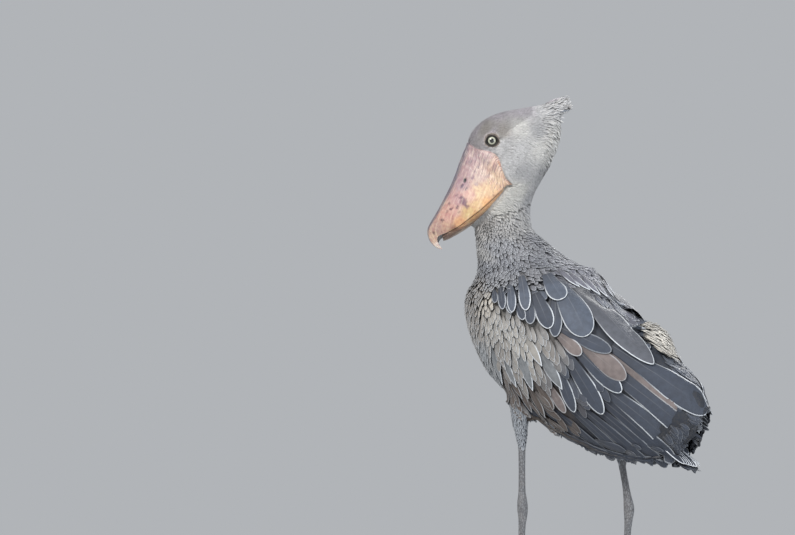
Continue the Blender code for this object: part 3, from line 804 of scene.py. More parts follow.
def grid_triangles(style):
    """Triangles of a closed vane: top grid, underside, and the rim that joins them."""
    wide = style.columns + 1
    size = (style.rows + 1) * wide

    def top(row, column):
        return row * wide + column

    def under(row, column):
        if not style.sheet and column in (0, style.columns):
            return top(row, column)
        return size + row * wide + column

    found = []
    under_columns = range(style.columns) if style.sheet else (0,)
    under_step = 1 if style.sheet else style.columns
    for row in range(style.rows):
        for column in range(style.columns):
            a, b = top(row, column), top(row, column + 1)
            c, d = top(row + 1, column + 1), top(row + 1, column)
            found += [(a, b, c), (a, c, d)]
        for column in under_columns:
            a, b = under(row, column), under(row, column + under_step)
            c, d = under(row + 1, column + under_step), under(row + 1, column)
            found += [(a, c, b), (a, d, c)]
    rim = ring_of(style)
    if style.sheet:
        for (row_a, col_a), (row_b, col_b) in zip(rim, rim[1:] + rim[:1]):
            a, b = top(row_a, col_a), top(row_b, col_b)
            c, d = under(row_b, col_b), under(row_a, col_a)
            found += [(a, c, b), (a, d, c)]
    else:
        for row in (0, style.rows):
            for column in range(1, style.columns):
                edge = (top(row, 0), top(row, column), top(row, column + 1))
                found.append(edge if row else edge[::-1])
    return np.array([t for t in found if len(set(t)) == 3])


def ring_of(style):
    """(row, column) places round the outline of a vane's grid."""
    last_row, last_column = style.rows, style.columns
    ring = [(0, column) for column in range(last_column)]
    ring += [(row, last_column) for row in range(last_row)]
    ring += [(last_row, column) for column in range(last_column, 0, -1)]
    ring += [(row, 0) for row in range(last_row, 0, -1)]
    return ring


# Roots, spread evenly with the spacing that the feather size asks for

def blended(corner, a, b):
    """Value at shares (a, b) across faces from the values at their four corners."""
    near_side = (1 - b) * corner[:, 0] + b * corner[:, 3]
    far_side = (1 - b) * corner[:, 1] + b * corner[:, 2]
    return (1 - a) * near_side + a * far_side


def candidates(mask, density):
    """Random points on the hull's faces that the mask allows, about so many for each square metre."""
    faces = hull.faces[mask[hull.faces].all(1)]
    place = hull.points[faces]
    first = np.linalg.norm(np.cross(place[:, 1] - place[:, 0], place[:, 2] - place[:, 0]), axis=1)
    second = np.linalg.norm(np.cross(place[:, 2] - place[:, 0], place[:, 3] - place[:, 0]), axis=1)
    area = 0.5 * (first + second)
    count = int(area.sum() * density)
    pick = rng.choice(len(area), count, p=area / area.sum())
    a, b = rng.random((2, count, 1))
    corner = place[pick]
    return blended(corner, a, b), unit(blended(hull.normals[faces[pick]], a, b))


def thinned(points, spacing):
    """Indices of points that keep their spacing from each other."""
    tree = KDTree(len(points))
    for index, point in enumerate(points):
        tree.insert(point, index)
    tree.balance()
    dropped = np.zeros(len(points), bool)
    kept = []
    for index, point in enumerate(points):
        if dropped[index]:
            continue
        kept.append(index)
        for _, other, _ in tree.find_range(point, spacing[index]):
            dropped[other] = True
    return np.array(kept, int)


def rooted(mask, fill=0.45, least=0.0016, oversample=6.0):
    """Roots over a part of the hull, with the zones' flow, size and tone at each."""
    vertex_zones = zones.at(hull.points[mask][::40], hull.normals[mask][::40])[1]
    near = max(least, fill * math.sqrt(np.percentile(vertex_zones[:, 0] * vertex_zones[:, 1], 10)))
    points, normals = candidates(mask, oversample / near ** 2)
    flow, size, tint = zones.at(points, normals)
    spacing = np.maximum(least, fill * np.sqrt(size[:, 0] * size[:, 1]))
    kept = thinned(points, spacing)
    return points[kept], normals[kept], flow[kept], size[kept], tint[kept]


# Materials

class Shader:
    """Small helper that adds nodes to a material and joins them."""

    def __init__(self, name):
        self.material = bpy.data.materials.new(name)
        self.material.use_nodes = True
        self.tree = self.material.node_tree
        self.surface = next(node for node in self.tree.nodes if node.type == "BSDF_PRINCIPLED")

    def link(self, value, socket):
        if isinstance(value, bpy.types.NodeSocket):
            self.tree.links.new(value, socket)
        else:
            socket.default_value = value

    def set(self, name, value):
        if isinstance(value, tuple) and len(value) == 3:
            value = value + (1.0,)
        self.link(value, self.surface.inputs[name])

    def attribute(self, name, output="Fac"):
        node = self.tree.nodes.new("ShaderNodeAttribute")
        node.attribute_name = name
        return node.outputs[output]

    def parts(self, vector):
        node = self.tree.nodes.new("ShaderNodeSeparateXYZ")
        self.link(vector, node.inputs[0])
        return node.outputs

    def joined(self, x, y, z):
        node = self.tree.nodes.new("ShaderNodeCombineXYZ")
        for value, socket in zip((x, y, z), node.inputs):
            self.link(value, socket)
        return node.outputs[0]

    def math(self, operation, first, second=0.0, third=None):
        node = self.tree.nodes.new("ShaderNodeMath")
        node.operation = operation
        self.link(first, node.inputs[0])
        self.link(second, node.inputs[1])
        if third is not None:
            self.link(third, node.inputs[2])
        return node.outputs[0]

    def stretched(self, along, along_scale, across, across_scale):
        """Coordinates along and across a grain, each with its own scale."""
        along = self.math("MULTIPLY", along, along_scale)
        return self.joined(along, self.math("MULTIPLY", across, across_scale), 0.0)

    def ramp(self, value, from_low, from_high, to_low=0.0, to_high=1.0, smooth=True):
        node = self.tree.nodes.new("ShaderNodeMapRange")
        node.interpolation_type = "SMOOTHSTEP" if smooth else "LINEAR"
        for value_in, socket in zip((value, from_low, from_high, to_low, to_high), node.inputs):
            self.link(value_in, socket)
        return node.outputs[0]

    def mix(self, factor, first, second, kind="MIX"):
        node = self.tree.nodes.new("ShaderNodeMix")
        node.data_type = "RGBA"
        node.blend_type = kind
        first = first + (1.0,) if isinstance(first, tuple) else first
        second = second + (1.0,) if isinstance(second, tuple) else second
        self.link(factor, node.inputs[0])
        self.link(first, node.inputs[6])
        self.link(second, node.inputs[7])
        return node.outputs[2]

    def noise(self, scale, detail=2.0, vector=None, roughness=0.5, output="Fac"):
        node = self.tree.nodes.new("ShaderNodeTexNoise")
        node.inputs["Scale"].default_value = scale
        node.inputs["Detail"].default_value = detail
        node.inputs["Roughness"].default_value = roughness
        self.link(self.place() if vector is None else vector, node.inputs["Vector"])
        return node.outputs[output]

    def cells(self, scale, vector=None, feature="F1", output="Distance", randomness=1.0):
        node = self.tree.nodes.new("ShaderNodeTexVoronoi")
        node.feature = feature
        node.inputs["Scale"].default_value = scale
        node.inputs["Randomness"].default_value = randomness
        self.link(self.place() if vector is None else vector, node.inputs["Vector"])
        return node.outputs[output]

    def place(self):
        if not hasattr(self, "coordinates"):
            self.coordinates = self.tree.nodes.new("ShaderNodeTexCoord").outputs["Object"]
        return self.coordinates

    def scaled(self, vector, by):
        node = self.tree.nodes.new("ShaderNodeVectorMath")
        node.operation = "MULTIPLY"
        self.link(vector, node.inputs[0])
        node.inputs[1].default_value = by
        return node.outputs[0]

    def bump(self, height, strength, distance):
        node = self.tree.nodes.new("ShaderNodeBump")
        node.inputs["Strength"].default_value = strength
        node.inputs["Distance"].default_value = distance
        self.link(height, node.inputs["Height"])
        self.set("Normal", node.outputs[0])


RIM_TONE = linear(200, 205, 211)


def feather_material(
    name, rim_width, shaft_width, barb_pitch, barb_depth, mottle, root_painted_shade=0.45, rim_from=0.3,
):
    """Feather vanes: own tone with a pale rim, a shaft line, barbs, a fine mottle and painted shade
    towards the root.
    """
    shader = Shader(name)
    tint = shader.attribute("tint", "Color")
    rim_strength = shader.attribute("tint", "Alpha")
    rim_gap, shaft_gap, barb = shader.parts(shader.attribute("vane", "Vector"))
    along = shader.attribute("along")
    patchy = shader.noise(90.0, 3.0)
    tone = shader.mix(shader.ramp(patchy, 0.3, 0.7, 0.0, mottle), tint, (0.02, 0.021, 0.024))
    # Painted shade: each vane darkens towards its root, where the feathers over it shade it.
    root_shade = shader.ramp(along, 0.0, 0.55, root_painted_shade, 0.0)
    tone = shader.mix(root_shade, tone, (0.03, 0.03, 0.034))
    phase = shader.math("ADD", barb, shader.math("MULTIPLY", shader.noise(260.0, 2.0), 1.6 * barb_pitch))
    barbs = shader.math("SINE", shader.math("MULTIPLY", phase, 2.0 * math.pi / barb_pitch))
    barbs = shader.ramp(barbs, -1.0, 1.0)
    tone = shader.mix(shader.math("MULTIPLY", barbs, barb_depth), tone, (0.012, 0.012, 0.014))
    fray = shader.math("MULTIPLY", shader.noise(420.0, 3.0), -1.2 * rim_width)
    frayed = shader.math("ADD", rim_gap, fray)
    rim = shader.ramp(frayed, 0.25 * rim_width, 0.85 * rim_width, 1.0, 0.0)
    rim = shader.math("MULTIPLY", rim, shader.ramp(along, rim_from, rim_from + 0.4))
    rim = shader.math("MULTIPLY", rim, rim_strength)
    tone = shader.mix(rim, tone, RIM_TONE)
    shaft = shader.ramp(shaft_gap, 0.4 * shaft_width, shaft_width, 1.0, 0.0)
    shaft = shader.math("MULTIPLY", shaft, shader.ramp(along, 0.2, 1.0, 0.75, 0.0))
    tone = shader.mix(shader.math("MULTIPLY", shaft, 0.5), tone, shader.mix(0.5, tint, (0.30, 0.30, 0.30)))
    shader.set("Base Color", tone)
    shader.set("Roughness", 0.62)
    shader.set("Specular IOR Level", 0.35)
    shader.set("Sheen Weight", 0.12)
    shader.set("Sheen Roughness", 0.45)
    shader.bump(barbs, 0.35, 0.0003)
    return shader.material


SMALL_FEATHERS = feather_material("small_feathers", 0.7, 0.30, 0.9, 0.08, 0.10, 0.15)
NECK_FEATHERS = feather_material("neck_feathers", 1.2, 0.40, 1.1, 0.14, 0.3, 0.65)
BREAST_FEATHERS = feather_material("breast_feathers", 1.6, 0.6, 1.3, 0.16, 0.3, 0.6)
WING_FEATHERS = feather_material("wing_feathers", 1.5, 0.8, 1.4, 0.16, 0.25, 0.5)
QUILL_FEATHERS = feather_material("quill_feathers", 2.1, 1.0, 1.6, 0.18, 0.25, 0.4, 0.25)


# Head frame: forward, to the left side, and height

def head_world(places):
    """World points of (forward, side, height) places in the head's frame."""
    places = np.asarray(places, float)
    flat = places.reshape(-1, 3)
    return to_world(flat, np.full(len(flat), HEAD_TURN)).reshape(places.shape)


def head_places(points):
    return to_bird(points, np.full(len(points), HEAD_TURN))


def profile(column, row):
    """(forward, height) in the head's frame of a pixel of the photograph."""
    return (515.0 - column) * METRES_PER_PIXEL, (FLOOR_ROW - row) * METRES_PER_PIXEL


def smooth_rows(rows, count):
    """Catmull-Rom rows through rows of numbers, at even steps."""
    table = np.asarray(rows, float)
    table = np.vstack((2 * table[0] - table[1], table, 2 * table[-1] - table[-2]))
    place = np.linspace(0.0, len(rows) - 1.0, count)
    index = np.minimum(place.astype(int), len(rows) - 2)
    t = (place - index)[:, None]
    p0, p1, p2, p3 = (table[index + step] for step in range(4))
    return 0.5 * (
        2 * p1 + (p2 - p0) * t + (2 * p0 - 5 * p1 + 4 * p2 - p3) * t ** 2
        + (3 * p1 - p0 - 3 * p2 + p3) * t ** 3
    )


def loft_faces(rows, columns, closed):
    """Quads of a grid of points, closed round its rows or open."""
    span = columns if closed else columns - 1
    row, column = np.meshgrid(np.arange(rows - 1), np.arange(span), indexing="ij")
    ahead = (column + 1) % columns
    a, b = row * columns + column, row * columns + ahead
    return np.stack((a, b, b + columns, a + columns), -1).reshape(-1, 4)


def value_noise(points, scale, seed=0.0):
    """Smooth noise from -1 to 1 at points, with features about one over the scale across."""
    offset = Vector((seed, seed * 1.7, seed * 0.3))
    return np.array([noise.noise(Vector(point) * scale + offset) for point in points])


# Bill: the solids' sections with finer steps, a keel, grooves, nostrils and a wrinkled base

BILL_SIDE_POWER = 0.85
BILL_LIFT_POWER = 0.90
UPPER_ROWS = 168
UPPER_COLUMNS = 97
LOWER_ROWS = 120
LOWER_COLUMNS = 65
COLLAR_ROWS = 22
MOUTH_INSET = 0.0022

# Upper bill from the forehead to the nail: ridge (forward, z), cutting edge (forward, z), half width
UPPER_BILL = [
    (0.1008, 0.9828, 0.0168, 0.8967, 0.050),
    (0.1124, 0.9534, 0.0315, 0.8820, 0.055),
    (0.1239, 0.9198, 0.0483, 0.8663, 0.058),
    (0.1376, 0.8883, 0.0693, 0.8474, 0.058),
    (0.1544, 0.8558, 0.0924, 0.8295, 0.052),
    (0.1691, 0.8295, 0.1176, 0.8106, 0.042),
    (0.1806, 0.8096, 0.1407, 0.7980, 0.029),
    (0.1827, 0.7970, 0.1600, 0.7900, 0.017),
    (0.1793, 0.7833, 0.1630, 0.7812, 0.011),
    (0.1722, 0.7718, 0.1600, 0.7728, 0.007),
    (0.1628, 0.7638, 0.1554, 0.7665, 0.004),
    (0.1543, 0.7617, 0.1530, 0.7635, 0.0012),
]

# Lower bill, for the first eight of those sections: lower edge (forward, z), half width
LOWER_BILL = [
    (0.0140, 0.8930, 0.046),
    (0.0273, 0.8736, 0.051),
    (0.0399, 0.8579, 0.054),
    (0.0588, 0.8379, 0.053),
    (0.0809, 0.8198, 0.047),
    (0.1072, 0.8012, 0.037),
    (0.1344, 0.7854, 0.023),
    (0.1500, 0.7790, 0.009),
]
LOWER_TIP_EDGE = (0.1535, 0.7905)

# Where the horn ends on the face, from the forehead to the corner of the mouth, as pixels
HORN_BORDER = [
    (466.0, 141.5), (474.0, 147.0), (483.0, 150.0), (491.0, 151.5),
    (498.5, 157.5), (502.5, 169.0), (506.5, 179.0), (512.5, 184.0),
]


def arch_shares(columns):
    """Side and lift shares of an arch's points from one cutting edge to the other."""
    angle = np.linspace(-0.5 * math.pi, 0.5 * math.pi, columns)
    side = np.sign(np.sin(angle)) * np.abs(np.sin(angle)) ** BILL_SIDE_POWER
    lift = np.clip(np.cos(angle), 0.0, 1.0) ** BILL_LIFT_POWER
    return side, lift


def arch_grid(rows, columns):
    """Grid of head-frame places, rows of arches over the ridge points."""
    side, lift = arch_shares(columns)
    ridge, edge, half = rows[:, 0:2], rows[:, 2:4], rows[:, 4]
    flat = edge[:, None, :] + (ridge - edge)[:, None, :] * lift[None, :, None]
    return np.stack((flat[..., 0], half[:, None] * side[None, :], flat[..., 1]), -1)


def grid_normals(grid):
    down = np.gradient(grid, axis=0)
    across = np.gradient(grid, axis=1)
    return unit(np.cross(down, across))


HORN_LIFT = 0.0013
HORN_BLEND_ROWS = 34


def on_hull(place, above):
    """Head-frame place moved onto the hull, that far above it."""
    near, normal, _, _ = hull.tree.find_nearest(Vector(head_world(place)))
    return head_places(np.array([near + normal * above]))[0]


def seated(grid, lift):
    """The bill's grid with rows of horn added that run back over the face, its base laid on the head."""
    border = smooth_rows([profile(*pixel) for pixel in HORN_BORDER], 200)
    run = np.concatenate(((0.0,), np.cumsum(np.linalg.norm(np.diff(border, axis=0), axis=1))))
    place = (1.0 - lift) * run[-1]
    target = np.stack([np.interp(place, run, border[:, axis]) for axis in range(2)], 1)
    base = grid[0]
    collar = np.empty((COLLAR_ROWS, len(lift), 3))
    for row in range(COLLAR_ROWS):
        share = 1.0 - row / COLLAR_ROWS
        here = base.copy()
        here[:, 0] += (target[:, 0] - base[:, 0]) * share
        here[:, 2] += (target[:, 1] - base[:, 2]) * share
        above = HORN_LIFT - 0.0042 * smooth_step(0.78, 1.0, share)
        for column in range(len(lift)):
            collar[row, column] = on_hull(here[column], above)
    grid = grid.copy()
    for row in range(HORN_BLEND_ROWS):
        share = 1.0 - smooth_step(0.0, 1.0, row / HORN_BLEND_ROWS)
        for column in range(len(lift)):
            laid = on_hull(grid[row, column], HORN_LIFT)
            grid[row, column] += (laid - grid[row, column]) * share
    grid = np.concatenate((collar, grid), 0)
    for _ in range(6):
        middle = 0.25 * (grid[:-2] + grid[2:]) + 0.5 * grid[1:-1]
        weight = np.ones(len(grid) - 2)
        weight[COLLAR_ROWS + HORN_BLEND_ROWS:] = 0.0
        grid[1:-1] += weight[:, None, None] * (middle - grid[1:-1])
    return grid


UPPER_NOSTRIL = profile(464.9, 180.2)


def shaped_upper(grid, lift):
    """Bill surface with its keel, grooves, nostrils, cutting lip and wrinkles."""
    rows, columns = grid.shape[:2]
    outward = grid_normals(grid)
    centre = grid.mean(1, keepdims=True)
    flip = np.sign((outward * (grid - centre)).sum(-1, keepdims=True).mean())
    outward = outward * flip
    bill_share = np.clip((np.arange(rows) - COLLAR_ROWS) / (rows - COLLAR_ROWS - 1.0), 0.0, 1.0)[:, None]
    across = grid[..., 1]
    keel = np.exp(-(across / 0.0048) ** 4) * smooth_step(0.0, 0.06, bill_share)
    keel = keel * (1 - smooth_step(0.72, 0.9, bill_share))
    groove = np.exp(-((np.abs(across) - 0.0085) / 0.0028) ** 2)
    groove = groove * smooth_step(0.02, 0.12, bill_share) * (lift[None] > 0.5)
    groove = groove * (1 - smooth_step(0.45, 0.62, bill_share))
    lip = np.exp(-(lift[None, :] / 0.10) ** 2) * smooth_step(0.02, 0.1, bill_share)
    lip = lip * (1 - smooth_step(0.6, 0.8, bill_share))
    slot = np.hypot((grid[..., 0] - UPPER_NOSTRIL[0] + 0.35 * (grid[..., 2] - UPPER_NOSTRIL[1])) / 0.0019,
                    (grid[..., 2] - UPPER_NOSTRIL[1]) / 0.0052)
    nostril = np.exp(-slot ** 4)
    flat = grid.reshape(-1, 3)
    wave = value_noise(flat * (1.0, 1.0, 0.35), 210.0, 3.0).reshape(rows, columns)
    coarse = value_noise(flat, 60.0, 8.0).reshape(rows, columns)
    base_zone = 1.0 - smooth_step(0.05, 0.35, bill_share)
    height = 0.0013 * keel - 0.0010 * groove + 0.0005 * lip - 0.0026 * nostril
    height = height + wave * (0.00018 + 0.00042 * base_zone)
    height = height + coarse * 0.0004 * (1 - smooth_step(0.75, 0.9, bill_share))
    return grid + outward * height[..., None], nostril


# Tones of the bill: pixel, display colour
BILL_TONES = [
    ((472, 153), (178, 158, 158)), ((484, 158), (190, 172, 168)), ((496, 166), (205, 178, 158)),
    ((468, 170), (182, 160, 158)), ((480, 176), (204, 186, 172)), ((498, 178), (216, 190, 160)),
    ((462, 184), (176, 152, 156)), ((480, 192), (226, 206, 166)), ((490, 190), (226, 200, 160)),
    ((470, 196), (212, 178, 162)), ((458, 200), (190, 158, 156)), ((455, 211), (206, 170, 156)),
    ((478, 204), (222, 196, 148)), ((486, 203), (224, 178, 126)), ((468, 213), (214, 192, 138)),
    ((460, 223), (220, 174, 126)), ((448, 217), (202, 162, 148)), ((446, 226), (200, 168, 144)),
    ((438, 226), (182, 154, 142)), ((434, 237), (206, 180, 156)), ((439, 247), (232, 222, 206)),
    ((498, 196), (214, 176, 132)), ((475, 216), (206, 164, 112)), ((455, 231), (150, 116, 86)),
]

# Marks on it: pixel, radius in millimetres, display colour, strength
BILL_MARKS = [
    ((464.9, 180.2), 3.4, (46, 62, 68), 0.95), ((462.5, 186.0), 3.6, (92, 78, 96), 0.85),
    ((466.5, 189.0), 3.8, (88, 80, 98), 0.80), ((472.8, 177.8), 3.4, (128, 108, 124), 0.75),
    ((464.0, 201.8), 8.0, (118, 94, 110), 0.85), ((461.7, 197.6), 4.0, (96, 78, 96), 0.75),
    ((466.5, 206.5), 5.2, (122, 96, 108), 0.75), ((457.7, 206.6), 4.0, (92, 70, 84), 0.85),
    ((451.3, 209.0), 3.2, (104, 76, 84), 0.85), ((459.3, 211.3), 3.0, (120, 84, 86), 0.75),
    ((448.9, 203.8), 3.6, (104, 80, 88), 0.75), ((456.9, 195.8), 3.2, (112, 88, 98), 0.75),
    ((442.5, 220.1), 4.0, (82, 60, 72), 0.80), ((433.8, 232.9), 3.0, (104, 82, 78), 0.70),
    ((493.6, 196.2), 2.6, (134, 82, 66), 0.75), ((480.8, 208.4), 2.6, (158, 104, 64), 0.65),
    ((470.5, 161.0), 4.0, (120, 108, 122), 0.65), ((478.5, 167.0), 3.4, (126, 116, 126), 0.60),
    ((488.5, 163.0), 3.4, (130, 116, 120), 0.60), ((497.0, 155.5), 3.0, (110, 92, 88), 0.65),
    ((499.5, 164.0), 2.2, (206, 126, 70), 0.75), ((476.0, 184.0), 4.0, (160, 146, 154), 0.60),
    ((488.0, 176.0), 3.4, (158, 148, 152), 0.55), ((474.0, 171.0), 3.2, (138, 118, 130), 0.60),
    ((452.5, 218.0), 3.2, (150, 108, 96), 0.55), ((447.0, 211.5), 3.0, (116, 90, 96), 0.60),
]
KEEL_TONE = linear(92, 94, 108)
CLOUD_SHADE = (0.80, 0.66, 0.74)
BILL_BRIGHTNESS = 0.86
LOWER_SHADED_TONE = linear(88, 70, 58)


def bill_tones(places, ridge_share):
    """Colour of each place on the bill from the tones and marks nearest to it in profile."""
    flat = places[:, (0, 2)]
    anchors = np.array([profile(*pixel) for pixel, _ in BILL_TONES])
    colours = np.array([linear(*colour) for _, colour in BILL_TONES])
    weight = 1.0 / (((flat[:, None] - anchors[None]) ** 2).sum(2) + 0.004 ** 2) ** 2
    tone = (weight / weight.sum(1, keepdims=True)) @ colours
    warp = np.stack((value_noise(places, 150.0, 20.0), value_noise(places, 150.0, 40.0)), 1)
    fine = value_noise(places, 420.0, 60.0)
    for pixel, radius, colour, strength in BILL_MARKS:
        gap = np.linalg.norm(flat + 0.0042 * warp - np.array(profile(*pixel)), axis=1)
        cover = strength * (1.0 - smooth_step(0.55, 1.25, gap / (radius * MM) + 0.45 * fine))
        tone = tone + (np.array(linear(*colour)) - tone) * cover[:, None]
    keel = smooth_step(0.90, 0.985, ridge_share + 0.03 * fine)[:, None] * 0.85
    cloud = np.clip(0.5 + 0.9 * value_noise(places, 190.0, 80.0), 0.0, 1.0)[:, None]
    tone = tone * (1.0 - cloud * (1.0 - np.array(CLOUD_SHADE)))
    return BILL_BRIGHTNESS * (tone + (np.array(KEEL_TONE) - tone) * keel)


def horn_material(name):
    """Horn with streaks along it, small flecks, fine scratches and a dull gloss."""
    shader = Shader(name)
    tone = shader.attribute("tone", "Color")
    streaked = shader.attribute("tone", "Alpha")
    along, across, _ = shader.parts(shader.attribute("lay", "Vector"))
    stretched = shader.stretched(along, 0.055, across, 0.42)
    streaks = shader.noise(1.0, 4.0, stretched, 0.6)
    wide = shader.noise(0.45, 3.0, stretched)
    blotches = shader.noise(46.0, 4.0, None, 0.6)
    dark_streak = shader.math("MULTIPLY", shader.ramp(streaks, 0.50, 0.62), streaked)
    pale_streak = shader.math("MULTIPLY", shader.ramp(streaks, 0.46, 0.36), streaked)
    tone = shader.mix(shader.math("MULTIPLY", pale_streak, 0.55), tone, linear(232, 214, 204))
    tone = shader.mix(shader.math("MULTIPLY", dark_streak, 0.72), tone, linear(104, 92, 104))
    freckles = shader.ramp(shader.noise(300.0, 3.0), 0.60, 0.72)
    freckles = shader.math("MULTIPLY", freckles, shader.ramp(blotches, 0.42, 0.62, 0.1, 0.8))
    tone = shader.mix(freckles, tone, linear(120, 88, 92))
    pale = shader.math("MULTIPLY", shader.ramp(wide, 0.5, 0.7), 0.25)
    tone = shader.mix(pale, tone, linear(236, 220, 190))
    scratched = shader.stretched(along, 0.10, across, 2.2)
    scratches = shader.noise(1.0, 2.0, scratched)
    tone = shader.mix(shader.ramp(scratches, 0.60, 0.70, 0.0, 0.22), tone, linear(130, 100, 84))
    shader.set("Base Color", tone)
    shader.set("Roughness", 0.46)
    shader.set("Specular IOR Level", 0.42)
    shader.set("Subsurface Weight", 0.06)
    shader.surface.inputs["Subsurface Radius"].default_value = (0.004, 0.002, 0.001)
    fine = shader.math("MULTIPLY", scratches, 0.18)
    relief = shader.math("ADD", shader.math("MULTIPLY", streaks, streaked), fine)
    relief = shader.math("ADD", relief, shader.math("MULTIPLY", shader.noise(700.0, 2.0), 0.10))
    shader.bump(relief, 0.8, 0.0012)
    return shader.material


HORN = horn_material("bill_horn")


def bill_piece(name, grid, back, tones, streak, lay):
    """Closed bill half: its outer grid, and a recessed inner grid that closes it."""
    rows, columns = grid.shape[:2]
    ring = np.concatenate((grid, back), 1)
    points = head_world(ring.reshape(-1, 3))
    faces = loft_faces(rows, ring.shape[1], True)
    mesh = mesh_from_arrays(name, points, faces)
    # Painted shade: the inner strip, seen only in the gap of the mouth, is painted near black.
    full = np.concatenate((tones, np.full((rows, back.shape[1], 3), 0.03)), 1)
    masks = np.concatenate((streak, np.zeros((rows, back.shape[1]))), 1)
    set_colours(mesh, "tone", np.concatenate((full, masks[..., None]), -1).reshape(-1, 4))
    edge = np.zeros((rows, back.shape[1], 3))
    set_vectors(mesh, "lay", np.concatenate((lay, edge), 1).reshape(-1, 3))
    shape = bmesh.new()
    shape.from_mesh(mesh)
    shape.verts.ensure_lookup_table()
    width = ring.shape[1]
    for row in (0, rows - 1):
        loop = [shape.verts[row * width + column] for column in range(width)]
        shape.faces.new(loop if row else loop[::-1])
    bmesh.ops.recalc_face_normals(shape, faces=shape.faces)
    shape.to_mesh(mesh)
    shape.free()
    mesh.polygons.foreach_set("use_smooth", np.full(len(mesh.polygons), True))
    mesh.materials.append(HORN)
    made = new_object(name, mesh)
    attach(made, "root")
    return made


def measured_lay(grid, lift):
    """(along, across, ridge) of grid points, the first two in millimetres."""
    step = np.linalg.norm(np.diff(grid, axis=0), axis=2).mean(1)
    along = np.concatenate(((0.0,), np.cumsum(step)))[:, None] * 1000.0
    side = np.linalg.norm(np.diff(grid, axis=1), axis=2)
    across = np.concatenate((np.zeros((len(grid), 1)), np.cumsum(side, 1)), 1)
    across = (across - 0.5 * across[:, -1:]) * 1000.0
    shape = across.shape
    return np.stack((np.broadcast_to(along, shape), across, np.broadcast_to(lift[None], shape)), -1)


def inner_strip(grid, inset, steps=6):
    """Columns that close a bill half from its last cutting edge back to the first, a little inside."""
    last, first = grid[:, -1], grid[:, 0]
    middle = grid.mean(1)
    share = np.linspace(0.0, 1.0, steps + 2)[1:-1]
    strip = last[:, None] + (first - last)[:, None] * share[None, :, None]
    sink = unit(middle - 0.5 * (last + first))
    return strip + sink[:, None] * inset


upper_rows = smooth_rows(UPPER_BILL, UPPER_ROWS)
upper_side, upper_lift = arch_shares(UPPER_COLUMNS)
upper_grid = arch_grid(upper_rows, UPPER_COLUMNS)
upper_grid = seated(upper_grid, upper_lift)
upper_lay = measured_lay(upper_grid, upper_lift)
upper_shaped, nostril_mask = shaped_upper(upper_grid, upper_lift)
upper_flat = upper_grid.reshape(-1, 3)
upper_tones = bill_tones(upper_flat, np.tile(upper_lift, len(upper_grid))).reshape(upper_grid.shape)
# Painted shade: the nostril's hollow is painted almost black.
nostril_painted_shade = np.clip(nostril_mask * 1.3, 0, 1)[..., None]
upper_tones = upper_tones + (np.array((0.008, 0.010, 0.011)) - upper_tones) * nostril_painted_shade
from_base = (upper_lay[..., 0] - upper_lay[COLLAR_ROWS, 0, 0])
upper_streak = 1.0 - smooth_step(8.0, 62.0, from_base + 10.0 * np.abs(upper_side)[None])
upper_streak = np.clip(upper_streak + 0.15, 0.0, 1.0)
upper_bill = bill_piece(
    "bill_upper_horn", upper_shaped, inner_strip(upper_shaped, MOUTH_INSET),
    upper_tones, upper_streak, upper_lay,
)
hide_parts("bill_upper")

lower_table = [
    (low[0], low[1], up[2], up[3], low[2] - 0.0008)
    for up, low in zip(UPPER_BILL, LOWER_BILL)
]
lower_table[-1] = lower_table[-1][:2] + LOWER_TIP_EDGE + lower_table[-1][4:]
lower_rows = smooth_rows(lower_table, LOWER_ROWS)
lower_rows[:, 2] -= 0.0004
lower_rows[:, 3] -= 0.0006
_, lower_lift = arch_shares(LOWER_COLUMNS)
lower_grid = arch_grid(lower_rows, LOWER_COLUMNS)
lower_flat = lower_grid.reshape(-1, 3)
lower_lay = measured_lay(lower_grid, lower_lift)
lower_tones = bill_tones(lower_flat, np.zeros(len(lower_flat))).reshape(lower_grid.shape)
# Painted shade: the lower bill darkens to a shaded brown towards its underside and its tip.
lower_share = np.linspace(0.0, 1.0, LOWER_ROWS)[:, None]
lower_painted_shade = 0.75 * smooth_step(0.45, 1.0, lower_lift[None] + 0.35 * lower_share)
lower_painted_shade = np.clip(lower_painted_shade + 0.5 * smooth_step(0.5, 1.0, lower_share), 0.0, 0.85)
lower_tones = lower_tones + (np.array(LOWER_SHADED_TONE) - lower_tones) * lower_painted_shade[..., None]
lower_bumps = value_noise(lower_flat * (1.0, 1.0, 0.5), 160.0, 5.0).reshape(lower_grid.shape[:2])
lower_out = grid_normals(lower_grid)
lower_out *= np.sign((lower_out * (lower_grid - lower_grid.mean(1, keepdims=True))).sum(-1).mean())
lower_grid = lower_grid + lower_out * (0.0003 * lower_bumps)[..., None]
lower_bill = bill_piece(
    "bill_lower_horn", lower_grid, inner_strip(lower_grid, MOUTH_INSET), lower_tones,
    np.full(lower_grid.shape[:2], 0.25), lower_lay,
)
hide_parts("bill_lower")


# Eyes: glossy balls with an iris and a pupil

EYE_RADIUS = 0.0130
IRIS_RADIUS = 0.0086
CORNEA_RISE = 0.0007
HEAD_LEFT = np.array((math.cos(HEAD_TURN), math.sin(HEAD_TURN), 0.0))
HEAD_FORWARD = np.array((math.sin(HEAD_TURN), -math.cos(HEAD_TURN), 0.0))


